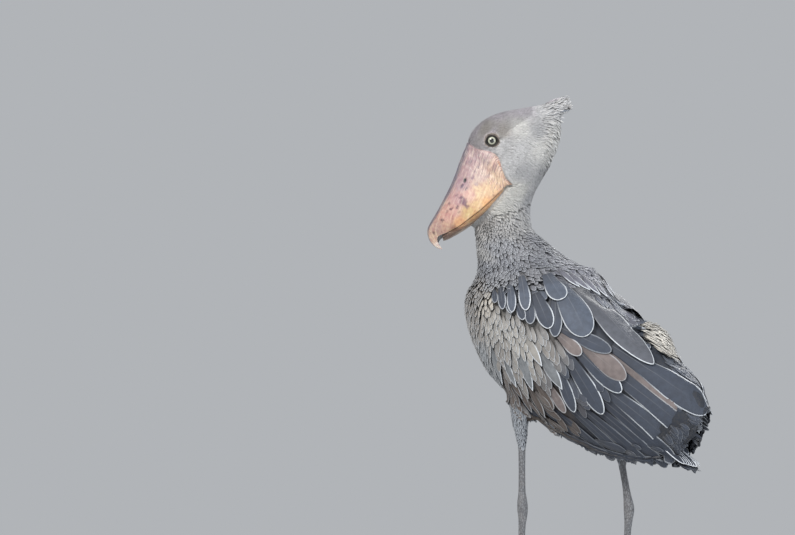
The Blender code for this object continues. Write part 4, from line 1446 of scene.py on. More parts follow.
def eye_material():
    shader = Shader("eye_gloss")
    radius, turn, _ = shader.parts(shader.attribute("lay", "Vector"))
    fibres = shader.joined(shader.math("MULTIPLY", radius, 0.35), shader.math("MULTIPLY", turn, 9.0), 0.0)
    fibre = shader.noise(1.0, 3.0, fibres)
    iris = shader.mix(shader.ramp(fibre, 0.35, 0.65), linear(150, 152, 138), linear(196, 198, 180))
    iris = shader.mix(shader.ramp(radius, 6.9, 8.3), iris, linear(92, 92, 80))
    iris = shader.mix(shader.ramp(radius, 5.6, 4.7), iris, linear(104, 106, 92))
    tone = shader.mix(shader.ramp(radius, 4.5, 4.8), (0.004, 0.004, 0.005), iris)
    tone = shader.mix(shader.ramp(radius, 8.4, 8.9), tone, (0.010, 0.008, 0.007))
    shader.set("Base Color", tone)
    shader.set("Roughness", 0.25)
    shader.set("Coat Weight", 1.0)
    shader.set("Coat Roughness", 0.02)
    shader.set("Coat IOR", 1.45)
    return shader.material


EYE_GLOSS = eye_material()
for name, middle, side in (("left", LEFT_EYE, 1.0), ("right", RIGHT_EYE, -1.0)):
    outward = HEAD_LEFT * side
    rings, around = 72, 72
    polar = np.linspace(0.0, math.pi, rings)[:, None] ** 1.0
    angle = np.linspace(0.0, 2.0 * math.pi, around, endpoint=False)[None, :]
    flat = EYE_RADIUS * np.sin(polar)
    bulge = CORNEA_RISE * np.clip(1.0 - (polar / math.asin(IRIS_RADIUS / EYE_RADIUS)) ** 2, 0.0, 1.0)
    reach = EYE_RADIUS * np.cos(polar) + bulge
    ball = middle + reach[..., None] * outward
    ball = ball + (flat * np.cos(angle))[..., None] * HEAD_FORWARD + (flat * np.sin(angle))[..., None] * UP
    faces = loft_faces(rings, around, True)
    if side > 0:
        faces = faces[:, ::-1]
    mesh = mesh_from_arrays("eye_%s_ball" % name, ball.reshape(-1, 3), faces)
    radius = np.where(polar < 0.5 * math.pi, flat, 2 * EYE_RADIUS - flat) * 1000.0
    lay = np.stack(np.broadcast_arrays(radius, angle, np.zeros((1, 1))), -1)
    set_vectors(mesh, "lay", lay.reshape(-1, 3))
    mesh.materials.append(EYE_GLOSS)
    made = new_object("eye_%s_ball" % name, mesh)
    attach(made, "root")
    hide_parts("eye_" + name)


def inside(flat, corners):
    """Whether points lie inside a closed line of corners."""
    found = np.zeros(len(flat), bool)
    for start, end in zip(corners, np.roll(corners, -1, axis=0)):
        crosses = (start[1] > flat[:, 1]) != (end[1] > flat[:, 1])
        if abs(end[1] - start[1]) < 1e-9:
            continue
        reach = start[0] + (flat[:, 1] - start[1]) / (end[1] - start[1]) * (end[0] - start[0])
        found ^= crosses & (flat[:, 0] < reach)
    return found


def line_gap(places, border, zone=None):
    """Distance in profile from a line of (forward, height) points, negative inside a zone."""
    flat = places[:, (0, 2)]
    start, run = border[:-1], np.diff(border, axis=0)
    offset = flat[:, None] - start[None]
    share = np.clip((offset * run).sum(-1) / (run ** 2).sum(-1), 0.0, 1.0)
    gap = np.linalg.norm(offset - share[..., None] * run, axis=-1).min(1)
    if zone is not None:
        gap = np.where(inside(flat, zone), -gap, gap)
    return gap


HORN_LINE = np.concatenate((
    smooth_rows([profile(*pixel) for pixel in HORN_BORDER], 80),
    smooth_rows([row[:2] for row in LOWER_BILL], 40),
))
CROWN_PIXELS = ((496, 147), (500, 139), (506, 132), (513, 127), (520, 122), (530, 115))
CROWN_CORNER_PIXELS = ((530, 60), (400, 60), (400, 150), (480, 158))
GAPE_PIXELS = ((505.5, 188.5), (510, 186.5), (514, 184.5), (518, 182.0))
CROWN_LINE = smooth_rows(
    [profile(*pixel) for pixel in CROWN_PIXELS], 40,
)
HORN_ZONE = np.concatenate((HORN_LINE, [(0.25, 0.75), (0.25, 1.0)]))
CROWN_ZONE = np.concatenate((CROWN_LINE, [profile(*pixel) for pixel in CROWN_CORNER_PIXELS]))
GAPE_LINE = smooth_rows([profile(*pixel) for pixel in GAPE_PIXELS], 20)


class Face:
    """Distances on the head that shape and colour its skin and thin its feathers."""

    def __init__(self, points):
        places = head_places(points)
        self.places = places
        near_head = (points[:, 2] > 0.84) & (places[:, 0] > -0.05)
        self.behind_horn = np.full(len(points), 1.0)
        self.behind_horn[near_head] = line_gap(places[near_head], HORN_LINE, HORN_ZONE)
        self.from_gape = np.full(len(points), 1.0)
        self.from_gape[near_head] = line_gap(places[near_head], GAPE_LINE)
        self.behind_crown = np.full(len(points), 1.0)
        self.behind_crown[near_head] = line_gap(places[near_head], CROWN_LINE, CROWN_ZONE)
        self.near_head = near_head
        ahead = places[:, 0] - EYE_FORWARD
        above = places[:, 2] - EYE_MIDDLE[2]
        self.eye_gap = np.hypot(ahead, above)
        self.eye_turn = np.arctan2(above, ahead)


LID_HALF_LENGTH = 0.0101
LID_HALF_HEIGHT = 0.0090
LID_MARGIN = 0.0009
LID_RIM_AND_SHADE = 0.0036
ORBIT_REACH = 0.0210


def lid_opening(turn):
    """Radius of the opening between the eyelids in each direction round the eye."""
    oval = 1.0 / np.hypot(np.cos(turn) / LID_HALF_LENGTH, np.sin(turn) / LID_HALF_HEIGHT)
    front = 0.0016 * np.exp(-((turn + 0.25) / 0.30) ** 2)
    back = 0.0010 * np.exp(-((np.abs(turn) - math.pi) / 0.30) ** 2)
    return oval + front + back


def orbit_side(face, side):
    """Distance from the head's middle plane of the skin round the eye."""
    gap = face.eye_gap
    beyond = gap - lid_opening(face.eye_turn)
    eye_side = float(np.linalg.norm((LEFT_EYE - RIGHT_EYE)) * 0.5)
    ball = eye_side + np.sqrt(np.maximum(EYE_RADIUS ** 2 - gap ** 2, 0.0))
    upper = smooth_step(-0.2, 0.8, np.sin(face.eye_turn))
    lid = eye_side + 0.0094 + 0.0021 * smooth_step(0.010, 0.0175, gap) + 0.0007 * upper
    fold = 0.00045 * np.exp(-((beyond - 0.0022) / 0.0009) ** 2)
    fold = fold - 0.00070 * np.exp(-((beyond - 0.0040) / 0.0007) ** 2)
    fold = fold + 0.00050 * np.exp(-((beyond - 0.0056) / 0.0009) ** 2)
    fold = fold - 0.00045 * np.exp(-((beyond - 0.0074) / 0.0008) ** 2) * (0.4 + 0.6 * upper)
    lid = np.maximum(lid + fold, ball + LID_MARGIN)
    inside = smooth_step(0.0, -0.0009, beyond)
    lid = lid + (ball - 0.0026 - lid) * inside
    return lid


def skin_mesh():
    """The hull drawn in by the coat's depth, finer on the face, with eyelids and folds."""
    shape = bmesh.new()
    base = mesh_from_arrays("skin_base", hull.points, hull.faces)
    label_layer = base.attributes.new("label", "FLOAT", "POINT")
    label_layer.data.foreach_set("value", hull.label.astype(np.float32))
    shape.from_mesh(base)
    bpy.data.meshes.remove(base)
    for reach in (0.036, 0.024, 0.0165):
        edges = []
        for edge in shape.edges:
            middle = 0.5 * (edge.verts[0].co + edge.verts[1].co)
            if middle.z < 0.93:
                continue
            if min((middle - Vector(LEFT_EYE)).length, (middle - Vector(RIGHT_EYE)).length) < reach:
                edges.append(edge)
        bmesh.ops.subdivide_edges(shape, edges=edges, cuts=1, use_grid_fill=True)
    mesh = bpy.data.meshes.new("skin")
    bmesh.ops.triangulate(shape, faces=[face for face in shape.faces if len(face.verts) > 4])
    shape.to_mesh(mesh)
    shape.free()
    return mesh


skin = skin_mesh()
skin_points = mesh_arrays(skin)
skin_edges = np.empty(len(skin.edges) * 2, np.int32)
skin.edges.foreach_get("vertices", skin_edges)
skin_edges = skin_edges.reshape(-1, 2)
skin_label = np.empty(len(skin_points), np.float32)
skin.attributes["label"].data.foreach_get("value", skin_label)
skin_label = np.round(skin_label).astype(int)
skin.attributes.remove(skin.attributes["label"])
skin_normals = np.empty(len(skin_points) * 3, np.float32)
skin.vertex_normals.foreach_get("vector", skin_normals)
skin_normals = skin_normals.reshape(-1, 3).astype(float)
skin_normals[:len(hull.points)] = hull.normals
skin_face = Face(skin_points)
skin_depth = np.empty(len(skin_points))
skin_depth[:len(hull.points)] = hull.depth
for index in range(len(hull.points), len(skin_points)):
    skin_depth[index] = hull.face_depth[hull.tree.find_nearest(Vector(skin_points[index]))[2]]
is_bill = np.isin(skin_label, [SOLIDS.index(name) for name in BILL])
under_horn = smooth_step(0.0006, -0.0035, skin_face.behind_horn) * skin_face.near_head
skin_depth = skin_depth + (0.0060 - skin_depth) * under_horn
around_eye = smooth_step(0.030, 0.020, skin_face.eye_gap) * (skin_points[:, 2] > 0.93) * ~is_bill
skin_depth = skin_depth + (0.0009 - skin_depth) * around_eye * (1.0 - under_horn)
in_gape = np.exp(-(skin_face.from_gape / 0.0012) ** 2) * skin_face.near_head
skin_depth = skin_depth + 0.0022 * in_gape
wrinkle_zone = smooth_step(0.034, 0.018, skin_face.eye_gap) * (skin_points[:, 2] > 0.93)
wrinkles = np.zeros(len(skin_points))
for index in np.flatnonzero(wrinkle_zone > 0.0):
    place = skin_face.places[index]
    lean = Vector((place[0] * 0.6 + place[2] * 0.8, place[1], place[2] * 0.6 - place[0] * 0.8))
    wrinkles[index] = noise.noise(Vector((lean.x * 520.0, lean.y * 200.0, lean.z * 170.0)))
drawn = skin_points - skin_normals * (skin_depth - 0.00035 * wrinkles * wrinkle_zone)[:, None]
hold = smooth_step(ORBIT_REACH, 0.0150, skin_face.eye_gap) * (skin_points[:, 2] > 0.93)
drawn_places = head_places(drawn)
side_sign = np.where(drawn_places[:, 1] < 0.0, -1.0, 1.0)
orbit = orbit_side(Face(drawn), side_sign)
outer_half = np.abs(drawn_places[:, 1]) > 0.020
hold = hold * outer_half
drawn_places[:, 1] += hold * (side_sign * (orbit + 0.0002 * wrinkles) - drawn_places[:, 1])
drawn = np.where(hold[:, None] > 0.0, head_world(drawn_places), drawn)
skin.vertices.foreach_set("co", drawn.astype(np.float32).ravel())
skin.update()
skin.polygons.foreach_set("use_smooth", np.full(len(skin.polygons), True))

_, _, skin_tint = zones.at(skin_points, skin_normals)
leg_parts = [SOLIDS.index(name) for name in FLESH if name.startswith(("shank", "toe"))]
on_leg = np.isin(skin_label, leg_parts)
# Painted shade: the skin under the coat is a darker copy of the feathers' tone, darker still under the
# wings and tail, for the shade in the gaps between feathers.
tone = 0.75 * skin_tint
tone[on_leg] = TINTS["leg"]
on_wing = np.isin(skin_label, [SOLIDS.index(name) for name in ("wing_left", "wing_right", "tail")])
tone[on_wing] = 0.6 * tone[on_wing]
set_floats(skin, "scaly", on_leg.astype(float))
lid_gap = skin_face.eye_gap - lid_opening(skin_face.eye_turn)
bare = smooth_step(0.0185, 0.0150, skin_face.eye_gap) * (skin_points[:, 2] > 0.93)
tone = tone + (np.array(linear(128, 118, 110)) - tone) * bare[:, None]
fleck = np.clip(wrinkles * 2.2, 0.0, 1.0) * wrinkle_zone
tone = tone + (np.array(linear(74, 66, 62)) - tone) * (0.6 * fleck)[:, None]
# Dark ring round the eye: partly the eyelids' own dark margin, partly painted shade of the socket round
# the eyeball.
lid_rim_and_shade = smooth_step(LID_RIM_AND_SHADE + 0.0008, LID_RIM_AND_SHADE - 0.0006, lid_gap) * (skin_points[:, 2] > 0.93)
tone = tone + (np.array(linear(24, 21, 20)) - tone) * lid_rim_and_shade[:, None]
tone = tone + (np.array(linear(60, 50, 46)) - tone) * in_gape[:, None]
set_colours(skin, "tone", np.concatenate((tone, bare[:, None]), 1))


def skin_material():
    """Bare skin: own tone, fine creases and pores with painted shade in the creases, and scales where it
    is a leg's.
    """
    shader = Shader("bird_skin")
    tone = shader.attribute("tone", "Color")
    pores = shader.cells(620.0)
    creases = shader.noise(240.0, 4.0)
    # Painted shade: the skin darkens in the low parts of its creases.
    tone = shader.mix(shader.ramp(creases, 0.35, 0.6, 0.35, 0.0), tone, (0.05, 0.045, 0.04))
    scaly = shader.attribute("scaly")
    clouds = shader.math("MULTIPLY", shader.ramp(shader.noise(70.0, 3.0), 0.45, 0.7, 0.0, 0.22), scaly)
    tone = shader.mix(clouds, tone, (0.32, 0.30, 0.29))
    plates = shader.cells(230.0, shader.scaled(shader.place(), (1.0, 1.0, 0.62)), "DISTANCE_TO_EDGE")
    seams = shader.math("MULTIPLY", shader.ramp(plates, 0.14, 0.02), scaly)
    tone = shader.mix(shader.math("MULTIPLY", seams, 0.62), tone, (0.05, 0.05, 0.055))
    shader.set("Base Color", tone)
    shader.set("Roughness", 0.55)
    shader.set("Specular IOR Level", 0.35)
    relief = shader.math("ADD", shader.math("MULTIPLY", pores, 0.4), creases)
    relief = shader.math("SUBTRACT", relief, shader.math("MULTIPLY", seams, 1.6))
    shader.bump(relief, 0.6, 0.0006)
    return shader.material


skin.materials.append(skin_material())
skin_object = new_object("skin", skin)
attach(skin_object, "root")
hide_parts(*FLESH)
bpy.context.view_layer.objects.active = skin_object
skin_object.select_set(True)
bpy.ops.object.mode_set(mode="EDIT")
bpy.ops.mesh.select_all(action="SELECT")
bpy.ops.uv.smart_project(angle_limit=math.radians(60.0), island_margin=0.002)
bpy.ops.object.mode_set(mode="OBJECT")
skin_object.select_set(False)
skin = skin_object.data
skin_tree = BVHTree.FromPolygons(drawn.tolist(), face_list(skin))
skin_map = np.empty(len(skin.loops) * 2, np.float32)
skin.uv_layers.active.uv.foreach_get("vector", skin_map)
skin_map = skin_map.reshape(-1, 2)
skin_starts = np.array([polygon.loop_start for polygon in skin.polygons])
skin_counts = np.array([polygon.loop_total for polygon in skin.polygons])


def skin_unwrap(points):
    """Where on the skin's unwrap each point's nearest skin lies."""
    found = np.array([skin_tree.find_nearest(Vector(point))[2] for point in points])
    start, count = skin_starts[found], skin_counts[found]
    total = sum(skin_map[start + np.minimum(step, count - 1)] for step in range(3))
    return total / 3.0
# Large feathers of the wing, as the photograph shows them

PATCH_LEFT = 455.0
PATCH_TOP = 255.0
PATCH_SCALE = 6.03
QUILL_STEPS = 8
LAYER_RISE = 0.00075
QUILL_FLOOR = -0.0034
QUILL_PATCH = 0.012


class Quill:
    """One large feather: root, tip and width in the enlarged picture, layer, tone, rim, form, bend."""

    def __init__(self, root, tip, width, layer, tone, rim, form="broad", bend=0.0):
        self.root, self.tip, self.width = root, tip, width
        self.layer, self.tone, self.rim = layer, tone, rim
        self.form, self.bend = form, bend

    def pixel(self, share):
        across = self.root[0] + (self.tip[0] - self.root[0]) * share
        down = self.root[1] + (self.tip[1] - self.root[1]) * share
        return PATCH_LEFT + across / PATCH_SCALE, PATCH_TOP + down / PATCH_SCALE


QUILLS = [
    Quill((440, 880), (860, 1205), 60, 0, "night", 0.10, "blade", 0.03),
    Quill((395, 905), (640, 1105), 58, 3, "night", 0.15, "blade"),
    Quill((490, 985), (800, 1182), 60, 2, "night", 0.15, "blade"),
    Quill((620, 1070), (960, 1232), 60, 2, "night", 0.15, "blade"),
    Quill((770, 1140), (1120, 1256), 60, 1, "night", 0.15, "blade"),
    Quill((930, 1190), (1270, 1268), 60, 1, "night", 0.15, "blade"),
    Quill((500, 880), (960, 1235), 66, 0, "night", 0.10, "blade", 0.03),
    Quill((600, 860), (1060, 1245), 72, 0, "night", 0.12, "blade", 0.03),
    Quill((680, 870), (1160, 1245), 78, 1, "night", 0.15, "blade", 0.03),
    Quill((770, 870), (1250, 1250), 84, 1, "night", 0.20, "blade", 0.03),
    Quill((760, 780), (1330, 1225), 96, 1, "night", 0.35, "blade", 0.03),
    Quill((800, 740), (1385, 1150), 128, 2, "slate_dark", 1.0, "blade", 0.04),
    Quill((850, 640), (1478, 1070), 150, 3, "slate_dark", 1.0, "blade", 0.04),
    Quill((900, 580), (1505, 975), 112, 4, "brown", 0.55, "blade", 0.03),
    Quill((940, 540), (1512, 900), 188, 5, "slate_dark", 1.0, "blade", 0.05),
    Quill((470, 760), (590, 930), 62, 3, "umber", 0.35, "broad"),
    Quill((540, 770), (660, 950), 70, 4, "brown", 0.45, "broad"),
    Quill((590, 640), (715, 945), 84, 5, "slate_dark", 0.85, "broad"),
    Quill((660, 590), (885, 955), 112, 6, "slate_dark", 0.95, "broad"),
    Quill((720, 560), (995, 822), 112, 7, "slate_dark", 1.0, "broad"),
    Quill((760, 530), (1020, 745), 122, 8, "brown", 0.35, "broad"),
    Quill((620, 480), (755, 598), 84, 8, "brown", 0.60, "broad"),
    Quill((640, 440), (935, 580), 96, 9, "slate_dark", 0.30, "broad"),
    Quill((740, 200), (1195, 655), 200, 10, "scapular", 1.0, "leaf", 0.02),
    Quill((620, 160), (800, 484), 188, 11, "slate", 1.0, "broad", 0.02),
    Quill((600, 250), (600, 492), 86, 8, "slate_dark", 0.55, "broad"),
    Quill((480, 230), (572, 440), 104, 10, "slate_dark", 1.0, "broad"),
    Quill((440, 260), (455, 415), 74, 9, "slate_dark", 0.5, "broad"),
    Quill((550, 120), (642, 275), 124, 12, "slate", 1.0, "broad"),
    Quill((400, 130), (432, 335), 76, 11, "slate", 1.0, "broad"),
    Quill((330, 180), (350, 345), 64, 10, "slate", 0.75, "broad"),
    Quill((270, 190), (292, 328), 56, 9, "slate_dark", 0.55, "broad"),
    Quill((300, 250), (345, 350), 52, 8, "slate_dark", 0.6, "broad"),
    Quill((370, 290), (415, 388), 60, 8, "slate_dark", 0.7, "broad"),
    Quill((230, 210), (248, 290), 46, 9, "slate_dark", 0.35, "broad"),
    Quill((195, 540), (285, 785), 62, 4, "breast_slate", 1.0, "lance"),
    Quill((270, 600), (368, 800), 58, 4, "breast_slate", 1.0, "lance"),
    Quill((360, 540), (466, 820), 80, 5, "breast_slate", 1.0, "lance"),
    Quill((500, 580), (642, 810), 82, 5, "breast_slate", 1.0, "lance"),
    Quill((410, 480), (522, 668), 62, 6, "breast_pale", 1.0, "lance"),
    Quill((300, 720), (402, 872), 56, 2, "umber", 0.5, "lance"),
    Quill((350, 780), (462, 955), 60, 2, "umber", 0.5, "lance"),
    Quill((430, 800), (542, 988), 62, 2, "umber", 0.5, "lance"),
    Quill((620, 90), (745, 205), 44, 12, "mantle", 1.0, "lance"),
    Quill((690, 120), (805, 222), 50, 13, "mantle", 1.0, "lance"),
    Quill((760, 130), (862, 250), 50, 13, "mantle", 1.0, "lance"),
    Quill((830, 160), (905, 262), 46, 13, "mantle", 1.0, "lance"),
]
TINTS["scapular"] = linear(92, 95, 103)

QUILL_FORMS = {
    "blade": Style(22, 10, 0.82, 0.45, 0.34, 0.05, (-0.0055, 0.0), 0.02, QUILL_STEPS, 0.0005, True),
    "broad": Style(18, 10, 0.62, 0.45, 0.52, 0.06, (-0.0055, 0.0), 0.02, QUILL_STEPS, 0.0005, True),
    "leaf": Style(20, 12, 0.55, 0.45, 0.72, 0.05, (-0.0055, 0.0), 0.02, QUILL_STEPS, 0.0005, True),
    "lance": Style(14, 6, 0.48, 0.40, 0.95, 0.10, (-0.0050, 0.0), 0.04, QUILL_STEPS, 0.0004, True),
}


def quill_paths():
    """Paths of the large feathers over the left wing, on the hull."""
    points = np.empty((len(QUILLS), QUILL_STEPS + 1, 3))
    normals = np.empty_like(points)
    for index, quill in enumerate(QUILLS):
        for stage in range(QUILL_STEPS + 1):
            pixel = quill.pixel(stage / QUILL_STEPS)
            if stage > 1 and not hull.hit(*pixel):
                points[index, stage] = 2.0 * points[index, stage - 1] - points[index, stage - 2]
                normals[index, stage] = normals[index, stage - 1]
                continue
            points[index, stage], normals[index, stage] = hull.seen(*pixel)
    for _ in range(2):
        points[:, 1:-1] = 0.25 * (points[:, :-2] + points[:, 2:]) + 0.5 * points[:, 1:-1]
        normals[:, 1:-1] = 0.25 * (normals[:, :-2] + normals[:, 2:]) + 0.5 * normals[:, 1:-1]
    return points, unit(normals)


# Feathers that the photograph hides: root and tip (forward, side, height), way they face, width,
# tone, rim, how many, and how far root and tip move for each next one

HIDDEN_QUILLS = [
    ((-0.165, 0.030, 0.438), (-0.292, 0.017, 0.384), (-0.35, 0.55, 0.75), 0.032, "night", 0.5, 6,
     (0.002, -0.002, 0.011), (0.001, -0.0015, 0.0085)),
    ((-0.150, 0.020, 0.3990), (-0.2600, 0.037, 0.3135), (-0.62, 0.30, 0.75), 0.023, "night", 1.0, 6,
     (0.0, -0.0034, 0.0007), (-0.0026, -0.0060, -0.0018)),
    ((-0.120, 0.030, 0.3860), (-0.2080, 0.034, 0.3370), (0.62, 0.15, -0.78), 0.022, "slate", 0.5, 4,
     (0.0, -0.0080, -0.0006), (-0.0060, -0.0080, -0.0010)),
]
HIDDEN_STYLE = Style(18, 8, 0.70, 0.55, 0.48, 0.06, (0.0, 0.0), 0.03, QUILL_STEPS, 0.0005)


def lay_hidden_quills(coat, flip):
    """Primaries between the wing ends, tail feathers and the coverts under the tail, on one side."""
    share = np.linspace(0.0, 1.0, QUILL_STEPS + 1)[None, :, None]
    for root, tip, facing, width, tone, rim, count, root_step, tip_step in HIDDEN_QUILLS:
        number = np.arange(count)[:, None]
        roots = (np.array(root) + number * np.array(root_step)) * (1.0, flip, 1.0)
        tips = (np.array(tip) + number * np.array(tip_step)) * (1.0, flip, 1.0)
        roots, tips = to_world(roots, np.zeros(count)), to_world(tips, np.zeros(count))
        facing = turned_out(np.tile(np.array(facing) * (1.0, flip, 1.0), (count, 1)), np.zeros(count))
        run = unit(tips - roots)
        facing = unit(facing - run * (facing * run).sum(1, keepdims=True))
        path = roots[:, None] * (1.0 - share) + tips[:, None] * share
        normals = np.repeat(facing[:, None], QUILL_STEPS + 1, 1)
        coat.lay(
            HIDDEN_STYLE, path, normals, np.linalg.norm(tips - roots, axis=1), np.full(count, width),
            np.tile(TINTS[tone], (count, 1)), np.full(count, rim), LAYER_RISE * np.arange(count),
            np.zeros(count), QUILL_PATCH,
        )


left_paths, left_normals = quill_paths()
mirror = np.array((-1.0, 1.0, 1.0))
quill_widths = np.array([quill.width / PATCH_SCALE * METRES_PER_PIXEL for quill in QUILLS])
quill_lengths = np.linalg.norm(np.diff(left_paths, axis=1), axis=2).sum(1)
quill_tints = np.array([TINTS[quill.tone] for quill in QUILLS])
quill_rims = np.array([quill.rim for quill in QUILLS])
quill_rises = np.array([QUILL_FLOOR + LAYER_RISE * quill.layer for quill in QUILLS])
quill_bends = np.array([quill.bend for quill in QUILLS])
quill_layers = np.array([quill.layer for quill in QUILLS])

for side_name, flip in (("left", 1.0), ("right", -1.0)):
    coat = Coat("quills_" + side_name, "wing_plumage")
    paths = left_paths if flip > 0 else left_paths * mirror
    normals = left_normals if flip > 0 else left_normals * mirror
    for form, style in QUILL_FORMS.items():
        pick = np.array([quill.form == form for quill in QUILLS])
        coat.lay(
            style, paths[pick], normals[pick], quill_lengths[pick], quill_widths[pick],
            quill_tints[pick], quill_rims[pick], quill_rises[pick], quill_bends[pick] * flip, QUILL_PATCH,
            quill_layers[pick] * LAYER_RISE,
        )
    lay_hidden_quills(coat, flip)
    coat.make(QUILL_FEATHERS, skin_unwrap)



def on_both_wings(values):
    """Values of the left wing's paths past their roots, step by step, with those of the right wing."""
    steps = [values[:, stage] for stage in range(2, QUILL_STEPS + 1)]
    return np.concatenate([np.concatenate((step, step * mirror)) for step in steps])


quill_cover_points = on_both_wings(left_paths)
quill_cover_reach = np.tile(np.concatenate((quill_widths, quill_widths)), QUILL_STEPS - 1) * 0.5


quill_cover_normals = on_both_wings(left_normals)
SAME_SIDE = 0.35
COVER_SHARE = 1.05


def under_quills(points, normals):
    """Whether each point lies beneath a large feather."""
    covered = np.zeros(len(points), bool)
    for start in range(0, len(points), 2000):
        part = points[start:start + 2000]
        gap = np.linalg.norm(part[:, None] - quill_cover_points[None], axis=2)
        facing = normals[start:start + 2000] @ quill_cover_normals.T > SAME_SIDE
        covered[start:start + 2000] = ((gap < COVER_SHARE * quill_cover_reach[None]) & facing).any(1)
    return covered


# Body coat

HEAD_STYLE = Style(4, 2, 0.45, 0.30, 0.8, 0.07, (-0.0021, 0.0005), 0.25, 2)
NECK_STYLE = Style(6, 4, 0.55, 0.30, 0.8, 0.12, (-0.0040, 0.0012), 0.18, 3)
BREAST_STYLE = Style(9, 4, 0.50, 0.30, 1.1, 0.12, (-0.0050, 0.0014), 0.14, 4)
COVERT_STYLE = Style(10, 6, 0.55, 0.35, 0.62, 0.08, (-0.0060, 0.0004), 0.06, 5, 0.0, True)

LOOSE_TIP = 0.005
UNDER_QUILLS_DROP = -0.0036
NAPE_SHAG = 0.0050


def hull_gaps(points):
    return np.array([hull.tree.find_nearest(Vector(point))[3] for point in points])


EDGE_THICKNESS = 0.020
MOST_FOLD = 0.3
EDGE_STYLE = Style(7, 4, 0.5, 0.4, 0.7, 0.10, (-0.0030, 0.0004), 0.12, 4)
DOWN_STYLE = Style(6, 2, 0.5, 0.3, 0.9, 0.10, (-0.0040, 0.0120), 0.30, 3)
PLAIN_SIZES = {
    "plumage_thighs": (0.0034, (0.0125, 0.0046, 0.35)), "plumage_edges": (0.0062, (0.0260, 0.0115, 0.12)),
    "plumage_rump": (0.0032, (0.0290, 0.0040, 0.0)),
}
head_mask = hull.is_part("head", "crest") & (hull.points[:, 2] > 0.80)
neck_mask = hull.is_part("neck") | (hull.is_part("head") & (hull.points[:, 2] <= 0.80))
breast_mask = hull.is_part("trunk")
rump_mask = hull.is_part("rump")
on_wing_parts = hull.is_part("wing_left", "wing_right")
thin_edge = (hull.thickness < EDGE_THICKNESS) & on_wing_parts | hull.is_part("tail")
thin_edge &= hull.folded < MOST_FOLD
wing_mask = on_wing_parts & ~thin_edge & (hull.folded < MOST_FOLD)
thigh_mask = hull.is_part("thigh_left", "thigh_right")
THIGH_STYLE = Style(5, 4, 0.5, 0.35, 0.8, 0.10, (-0.0028, 0.0008), 0.2, 2)

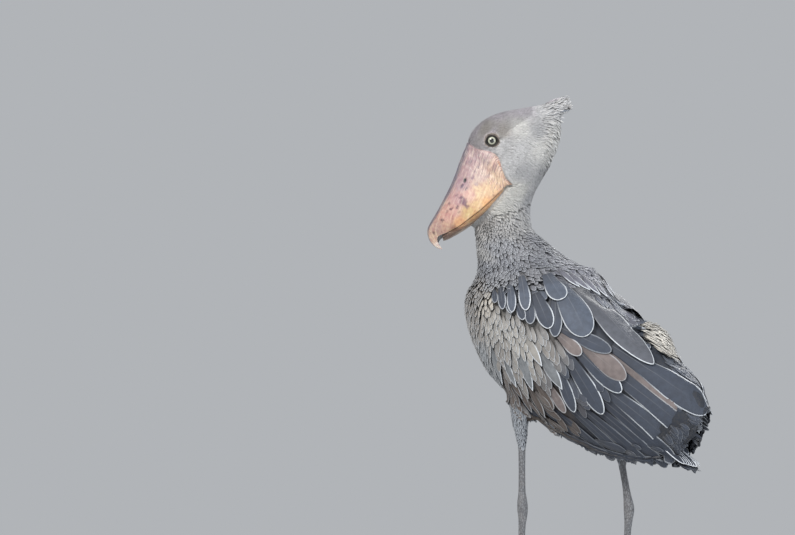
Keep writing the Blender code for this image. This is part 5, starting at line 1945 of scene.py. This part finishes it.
for name, mask, style, material, fill, least, slot_name in (
    ("plumage_head", head_mask, HEAD_STYLE, SMALL_FEATHERS, 0.34, 0.0016, "head_plumage"),
    ("plumage_neck", neck_mask, NECK_STYLE, NECK_FEATHERS, 0.42, 0.003, "body_plumage"),
    ("plumage_breast", breast_mask, BREAST_STYLE, BREAST_FEATHERS, 0.36, 0.006, "body_plumage"),
    ("plumage_wing", wing_mask, COVERT_STYLE, WING_FEATHERS, 0.38, 0.008, "wing_plumage"),
    ("plumage_edges", thin_edge, EDGE_STYLE, WING_FEATHERS, 0.42, 0.002, "wing_plumage"),
    ("plumage_rump", rump_mask, DOWN_STYLE, NECK_FEATHERS, 0.42, 0.002, "body_plumage"),
    ("plumage_thighs", thigh_mask, THIGH_STYLE, NECK_FEATHERS, 0.42, 0.002, "body_plumage"),
):
    if name in PLAIN_SIZES:
        spacing, plain_size = PLAIN_SIZES[name]
        points, normals = candidates(mask, 4.0e5)
        kept = thinned(points, np.full(len(points), spacing))
        points, normals = points[kept], normals[kept]
        flow, _, tint = zones.at(points, normals)
        if name == "plumage_thighs":
            flow = unit(-UP - normals * (-normals[:, 2:3]))
            tint = np.tile(TINTS["thigh"], (len(points), 1))
        if name == "plumage_rump":
            tint = np.tile(TINTS["down_white"], (len(points), 1))
        size = np.tile(plain_size, (len(points), 1))
    else:
        points, normals, flow, size, tint = rooted(mask, fill, least)
    if name in ("plumage_wing", "plumage_edges"):
        reach = points + flow * size[:, :1] * 0.45
        keep = ~under_quills(reach, normals)
        points, normals, flow, size, tint = points[keep], normals[keep], flow[keep], size[keep], tint[keep]
    face = Face(points)
    open_skin = (face.behind_horn < 0.0008) | ((face.eye_gap < 0.0150) & (points[:, 2] > 0.93))
    open_skin |= (face.from_gape < 0.0010) & face.near_head
    tips = Face(points + flow * size[:, :1])
    open_skin |= (tips.eye_gap < 0.0138) & (points[:, 2] > 0.93)
    keep = ~(open_skin & (points[:, 2] > 0.84))
    points, normals, flow, size, tint = points[keep], normals[keep], flow[keep], size[keep], tint[keep]
    face = Face(points)
    # Crown feathers take a darker tone; the feathers just behind the crown's edge are brightened as a
    # painted highlight along that edge.
    crown = smooth_step(0.0016, -0.0016, face.behind_crown) * face.near_head
    crown_edge_highlight = np.exp(-np.clip(face.behind_crown, 0.0, 1.0) / 0.010) * face.near_head
    tint = tint * (1.0 - 0.22 * crown + 0.16 * crown_edge_highlight * (1.0 - crown))[:, None]
    count = len(points)
    coat = Coat(name, slot_name)
    turned = flow + np.cross(normals, flow) * rng.normal(0.0, 0.12, count)[:, None]
    lengths = size[:, 0] * rng.normal(1.0, 0.08, count)
    if name == "plumage_head":
        lengths = lengths * (1.0 + 0.5 * smooth_step(-0.045, -0.075, to_bird(points)[:, 0]))
    widths = size[:, 1] * rng.normal(1.0, 0.08, count)
    shade = rng.normal(1.0, 0.07, count)[:, None]
    path, path_normal = paths_on_hull(points, turned, lengths, style.hug)
    if name in ("plumage_wing", "plumage_edges"):
        loose = hull_gaps(path[:, -1]) > LOOSE_TIP
        lengths, widths = np.where(loose, 0.5 * lengths, lengths), np.where(loose, 0.6 * widths, widths)
        path, path_normal = paths_on_hull(points, turned, lengths, style.hug)
    rises = np.zeros(count)
    if name == "plumage_head":
        shaggy = smooth_step(-0.045, -0.075, to_bird(points)[:, 0]) * smooth_step(0.84, 0.90, points[:, 2])
        rises = shaggy * NAPE_SHAG * rng.random(count) ** 2
    if name in ("plumage_breast", "plumage_wing", "plumage_edges"):
        rises[under_quills(path[:, style.hug // 2], normals)] = UNDER_QUILLS_DROP
    coat.lay(style, path, path_normal, lengths, widths, tint * shade, np.clip(size[:, 2], 0, 1), rises)
    coat.make(material, skin_unwrap)


# Crest, and the loose feathers behind the head: root and tip pixels, side, width, tone

CREST_QUILLS = [
    ((546.0, 103.5), (566.5, 96.5), 0.003, 0.0060, "crown"),
    ((547.5, 105.5), (568.0, 100.0), 0.006, 0.0065, "cheek"),
    ((549.0, 107.5), (566.5, 103.5), 0.001, 0.0065, "cheek_pale"),
    ((550.0, 110.0), (565.0, 107.5), 0.007, 0.0065, "cheek"),
    ((552.0, 113.5), (570.4, 109.7), 0.010, 0.0048, "slate"),
    ((552.0, 117.0), (566.0, 117.5), 0.006, 0.0060, "cheek_dark"),
    ((553.5, 120.0), (564.5, 122.0), 0.009, 0.0035, "cheek_pale"),
    ((554.0, 124.0), (561.5, 130.0), 0.010, 0.0035, "cheek"),
]
CREST_STEPS = 4
CREST_STYLE = Style(12, 4, 0.45, 0.35, 1.0, 0.12, (-0.0004, 0.0), 0.12, CREST_STEPS, 0.0004)
crest = Coat("plumage_crest", "head_plumage")
share = np.linspace(0.0, 1.0, CREST_STEPS + 1)[:, None]
for flip in (1.0, -1.0):
    crest_paths, crest_normals = [], []
    for root, tip, side, _, _ in CREST_QUILLS:
        ends = []
        for pixel in (root, tip):
            forward, height = profile(*pixel)
            ends.append(np.array((forward, flip * side, height)))
        places = ends[0] * (1.0 - share) + ends[1] * share
        places[:, 2] += 0.0016 * np.sin(math.pi * share[:, 0])
        crest_paths.append(head_world(places))
        facing = unit(np.array((-0.25, flip * 0.85, 0.45)))
        facing = turned_out(facing[None], np.array((HEAD_TURN,)))
        crest_normals.append(np.repeat(facing, CREST_STEPS + 1, 0))
    crest_paths = np.array(crest_paths)
    crest.lay(
        CREST_STYLE, crest_paths, np.array(crest_normals),
        np.linalg.norm(crest_paths[:, -1] - crest_paths[:, 0], axis=1),
        np.array([quill[3] for quill in CREST_QUILLS]),
        np.array([TINTS[quill[4]] for quill in CREST_QUILLS]),
        np.full(len(CREST_QUILLS), 0.2), 0.0008, np.full(len(CREST_QUILLS), 0.03 * flip),
    )
crest.make(NECK_FEATHERS, skin_unwrap)


# Claws

CLAW_ROWS = 16
CLAW_COLUMNS = 14
CLAW_RADIUS = 0.0046
CLAW_FLATNESS = 0.82
CLAW_ARCH = 0.0022
CLAW_ROOT_REACH = 0.0060
CLAW_FLOOR_GAP = 0.0004


def claw_material():
    """Dark horn with streaks along it and a worn, paler tip."""
    shader = Shader("claw_horn")
    along, across, _ = shader.parts(shader.attribute("lay", "Vector"))
    lines = shader.noise(1.0, 3.0, shader.joined(shader.math("MULTIPLY", along, 0.12), across, 0.0))
    tone = shader.mix(shader.ramp(lines, 0.35, 0.7), linear(34, 33, 35), linear(78, 74, 72))
    tone = shader.mix(shader.ramp(along, 20.0, 30.0, 0.0, 0.4), tone, linear(112, 104, 96))
    shader.set("Base Color", tone)
    shader.set("Roughness", shader.ramp(lines, 0.3, 0.7, 0.32, 0.48))
    shader.bump(lines, 0.5, 0.0003)
    return shader.material


CLAW_HORN = claw_material()


def claw_piece(node):
    """Curved claw that grows out of the end of its toe."""
    corners = mesh_arrays(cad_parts[node].data)
    toe_middle = mesh_arrays(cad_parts[node.replace("claw", "toe")].data).mean(0)
    tip = corners[np.linalg.norm(corners - toe_middle, axis=1).argmax()]
    away = np.linalg.norm(corners - tip, axis=1)
    root = corners[away > 0.9 * away.max()].mean(0)
    heading = unit((tip - root) * (1.0, 1.0, 0.0))
    start = root - CLAW_ROOT_REACH * heading
    aside = np.cross(heading, UP)
    share = np.linspace(0.0, 1.0, CLAW_ROWS + 1)[:, None]
    axis = start + (tip - start) * share + UP * CLAW_ARCH * 4.0 * share * (1.0 - share)
    radius = CLAW_RADIUS * np.clip(1.0 - share ** 1.5, 0.0016, 1.0) ** 0.7
    angle = np.linspace(0.0, 2.0 * math.pi, CLAW_COLUMNS, endpoint=False)
    around = CLAW_FLATNESS * np.cos(angle)[:, None] * aside + np.sin(angle)[:, None] * UP
    points = (axis[:, None] + radius[:, None] * around[None]).reshape(-1, 3)
    points[:, 2] = np.maximum(points[:, 2], CLAW_FLOOR_GAP)
    row, column = np.divmod(np.arange(CLAW_ROWS * CLAW_COLUMNS), CLAW_COLUMNS)
    a, b = row * CLAW_COLUMNS + column, row * CLAW_COLUMNS + (column + 1) % CLAW_COLUMNS
    next_a, next_b = a + CLAW_COLUMNS, b + CLAW_COLUMNS
    sides = np.concatenate((np.stack((a, next_b, b), 1), np.stack((a, next_a, next_b), 1)))
    ring = np.arange(1, CLAW_COLUMNS - 1)
    last = CLAW_ROWS * CLAW_COLUMNS
    root_cap = np.stack((0 * ring, ring, ring + 1), 1)
    tip_cap = np.stack((last + 0 * ring, last + ring + 1, last + ring), 1)
    mesh = mesh_from_arrays(node + "_horn", points, np.concatenate((sides, root_cap, tip_cap)))
    lay = np.zeros((CLAW_ROWS + 1, CLAW_COLUMNS, 3))
    lay[..., 0] = share * np.linalg.norm(tip - start) * 1000.0
    lay[..., 1] = np.abs(angle - math.pi) * CLAW_RADIUS * 1000.0
    set_vectors(mesh, "lay", lay.reshape(-1, 3))
    mesh.materials.append(CLAW_HORN)
    made = new_object(node + "_horn", mesh)
    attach(made, "root")
    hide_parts(node)


for node in sorted(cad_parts):
    if node.startswith("claw"):
        claw_piece(node)


# Floor, light and camera

def light(name, place, aim, size, power, colour):
    lamp = bpy.data.lights.new(name, "AREA")
    lamp.shape = "DISK"
    lamp.size = size
    lamp.energy = power
    lamp.color = colour
    made = bpy.data.objects.new(name, lamp)
    made.location = place
    made.rotation_euler = (Vector(aim) - Vector(place)).to_track_quat("-Z", "Y").to_euler()
    bpy.context.scene.collection.objects.link(made)


FLOOR_RADIUS = 6.5
FLOOR_DROP = 0.0005
FLOOR_TONE = (0.62, 0.63, 0.64)
bpy.ops.mesh.primitive_circle_add(
    vertices=128, radius=FLOOR_RADIUS, fill_type="NGON", location=(0, 0, -FLOOR_DROP),
)
floor = bpy.context.object
floor.name = "floor"
floor_shader = Shader("studio_floor")
floor_grain = floor_shader.noise(40.0, 3.0)
floor_shader.set("Base Color", floor_shader.mix(floor_grain, FLOOR_TONE, (0.60, 0.61, 0.62)))
floor_shader.set("Roughness", 0.9)
floor.data.materials.append(floor_shader.material)

# Lamps: name, how far towards the camera, to the picture's right and up, size, power, colour
LAMPS = [
    ("key", (3.2, -2.0, 3.6), 1.6, 215.0, (1.0, 0.97, 0.93)),
    ("fill", (2.6, 2.6, 1.4), 2.4, 70.0, (0.93, 0.96, 1.0)),
    ("rim", (-2.8, 1.2, 2.6), 1.4, 90.0, (1.0, 1.0, 1.0)),
]
LAMP_AIM = (0.0, 0.0, 0.65)
for name, (back, right, up), size, power, colour in LAMPS:
    light(name, tuple(back * VIEW_BACK + right * VIEW_RIGHT + up * UP), LAMP_AIM, size, power, colour)
world = bpy.data.worlds.new("studio")
bpy.context.scene.world = world
world.use_nodes = True
background = world.node_tree.nodes["Background"]
background.inputs["Color"].default_value = (0.80, 0.83, 0.87, 1.0)
background.inputs["Strength"].default_value = 0.55

frame_width = PHOTO_WIDTH * METRES_PER_PIXEL
frame_across = (0.5 * PHOTO_WIDTH - ORIGIN_COLUMN) * METRES_PER_PIXEL
frame_height = (FLOOR_ROW - 0.5 * PHOTO_HEIGHT) * METRES_PER_PIXEL
lens = bpy.data.cameras.new("camera")
lens.sensor_width = SENSOR_WIDTH
lens.lens = SENSOR_WIDTH * CAMERA_DISTANCE / frame_width
lens.clip_end = 200.0
camera = bpy.data.objects.new("camera", lens)
spot = np.array((0.0, CENTRING[1], frame_height)) + frame_across * VIEW_RIGHT + CAMERA_DISTANCE * VIEW_BACK
camera.location = spot
camera.rotation_euler = Vector(-VIEW_BACK).to_track_quat("-Z", "Y").to_euler()
bpy.context.scene.collection.objects.link(camera)
bpy.context.scene.camera = camera
bpy.context.scene.view_settings.view_transform = "Standard"
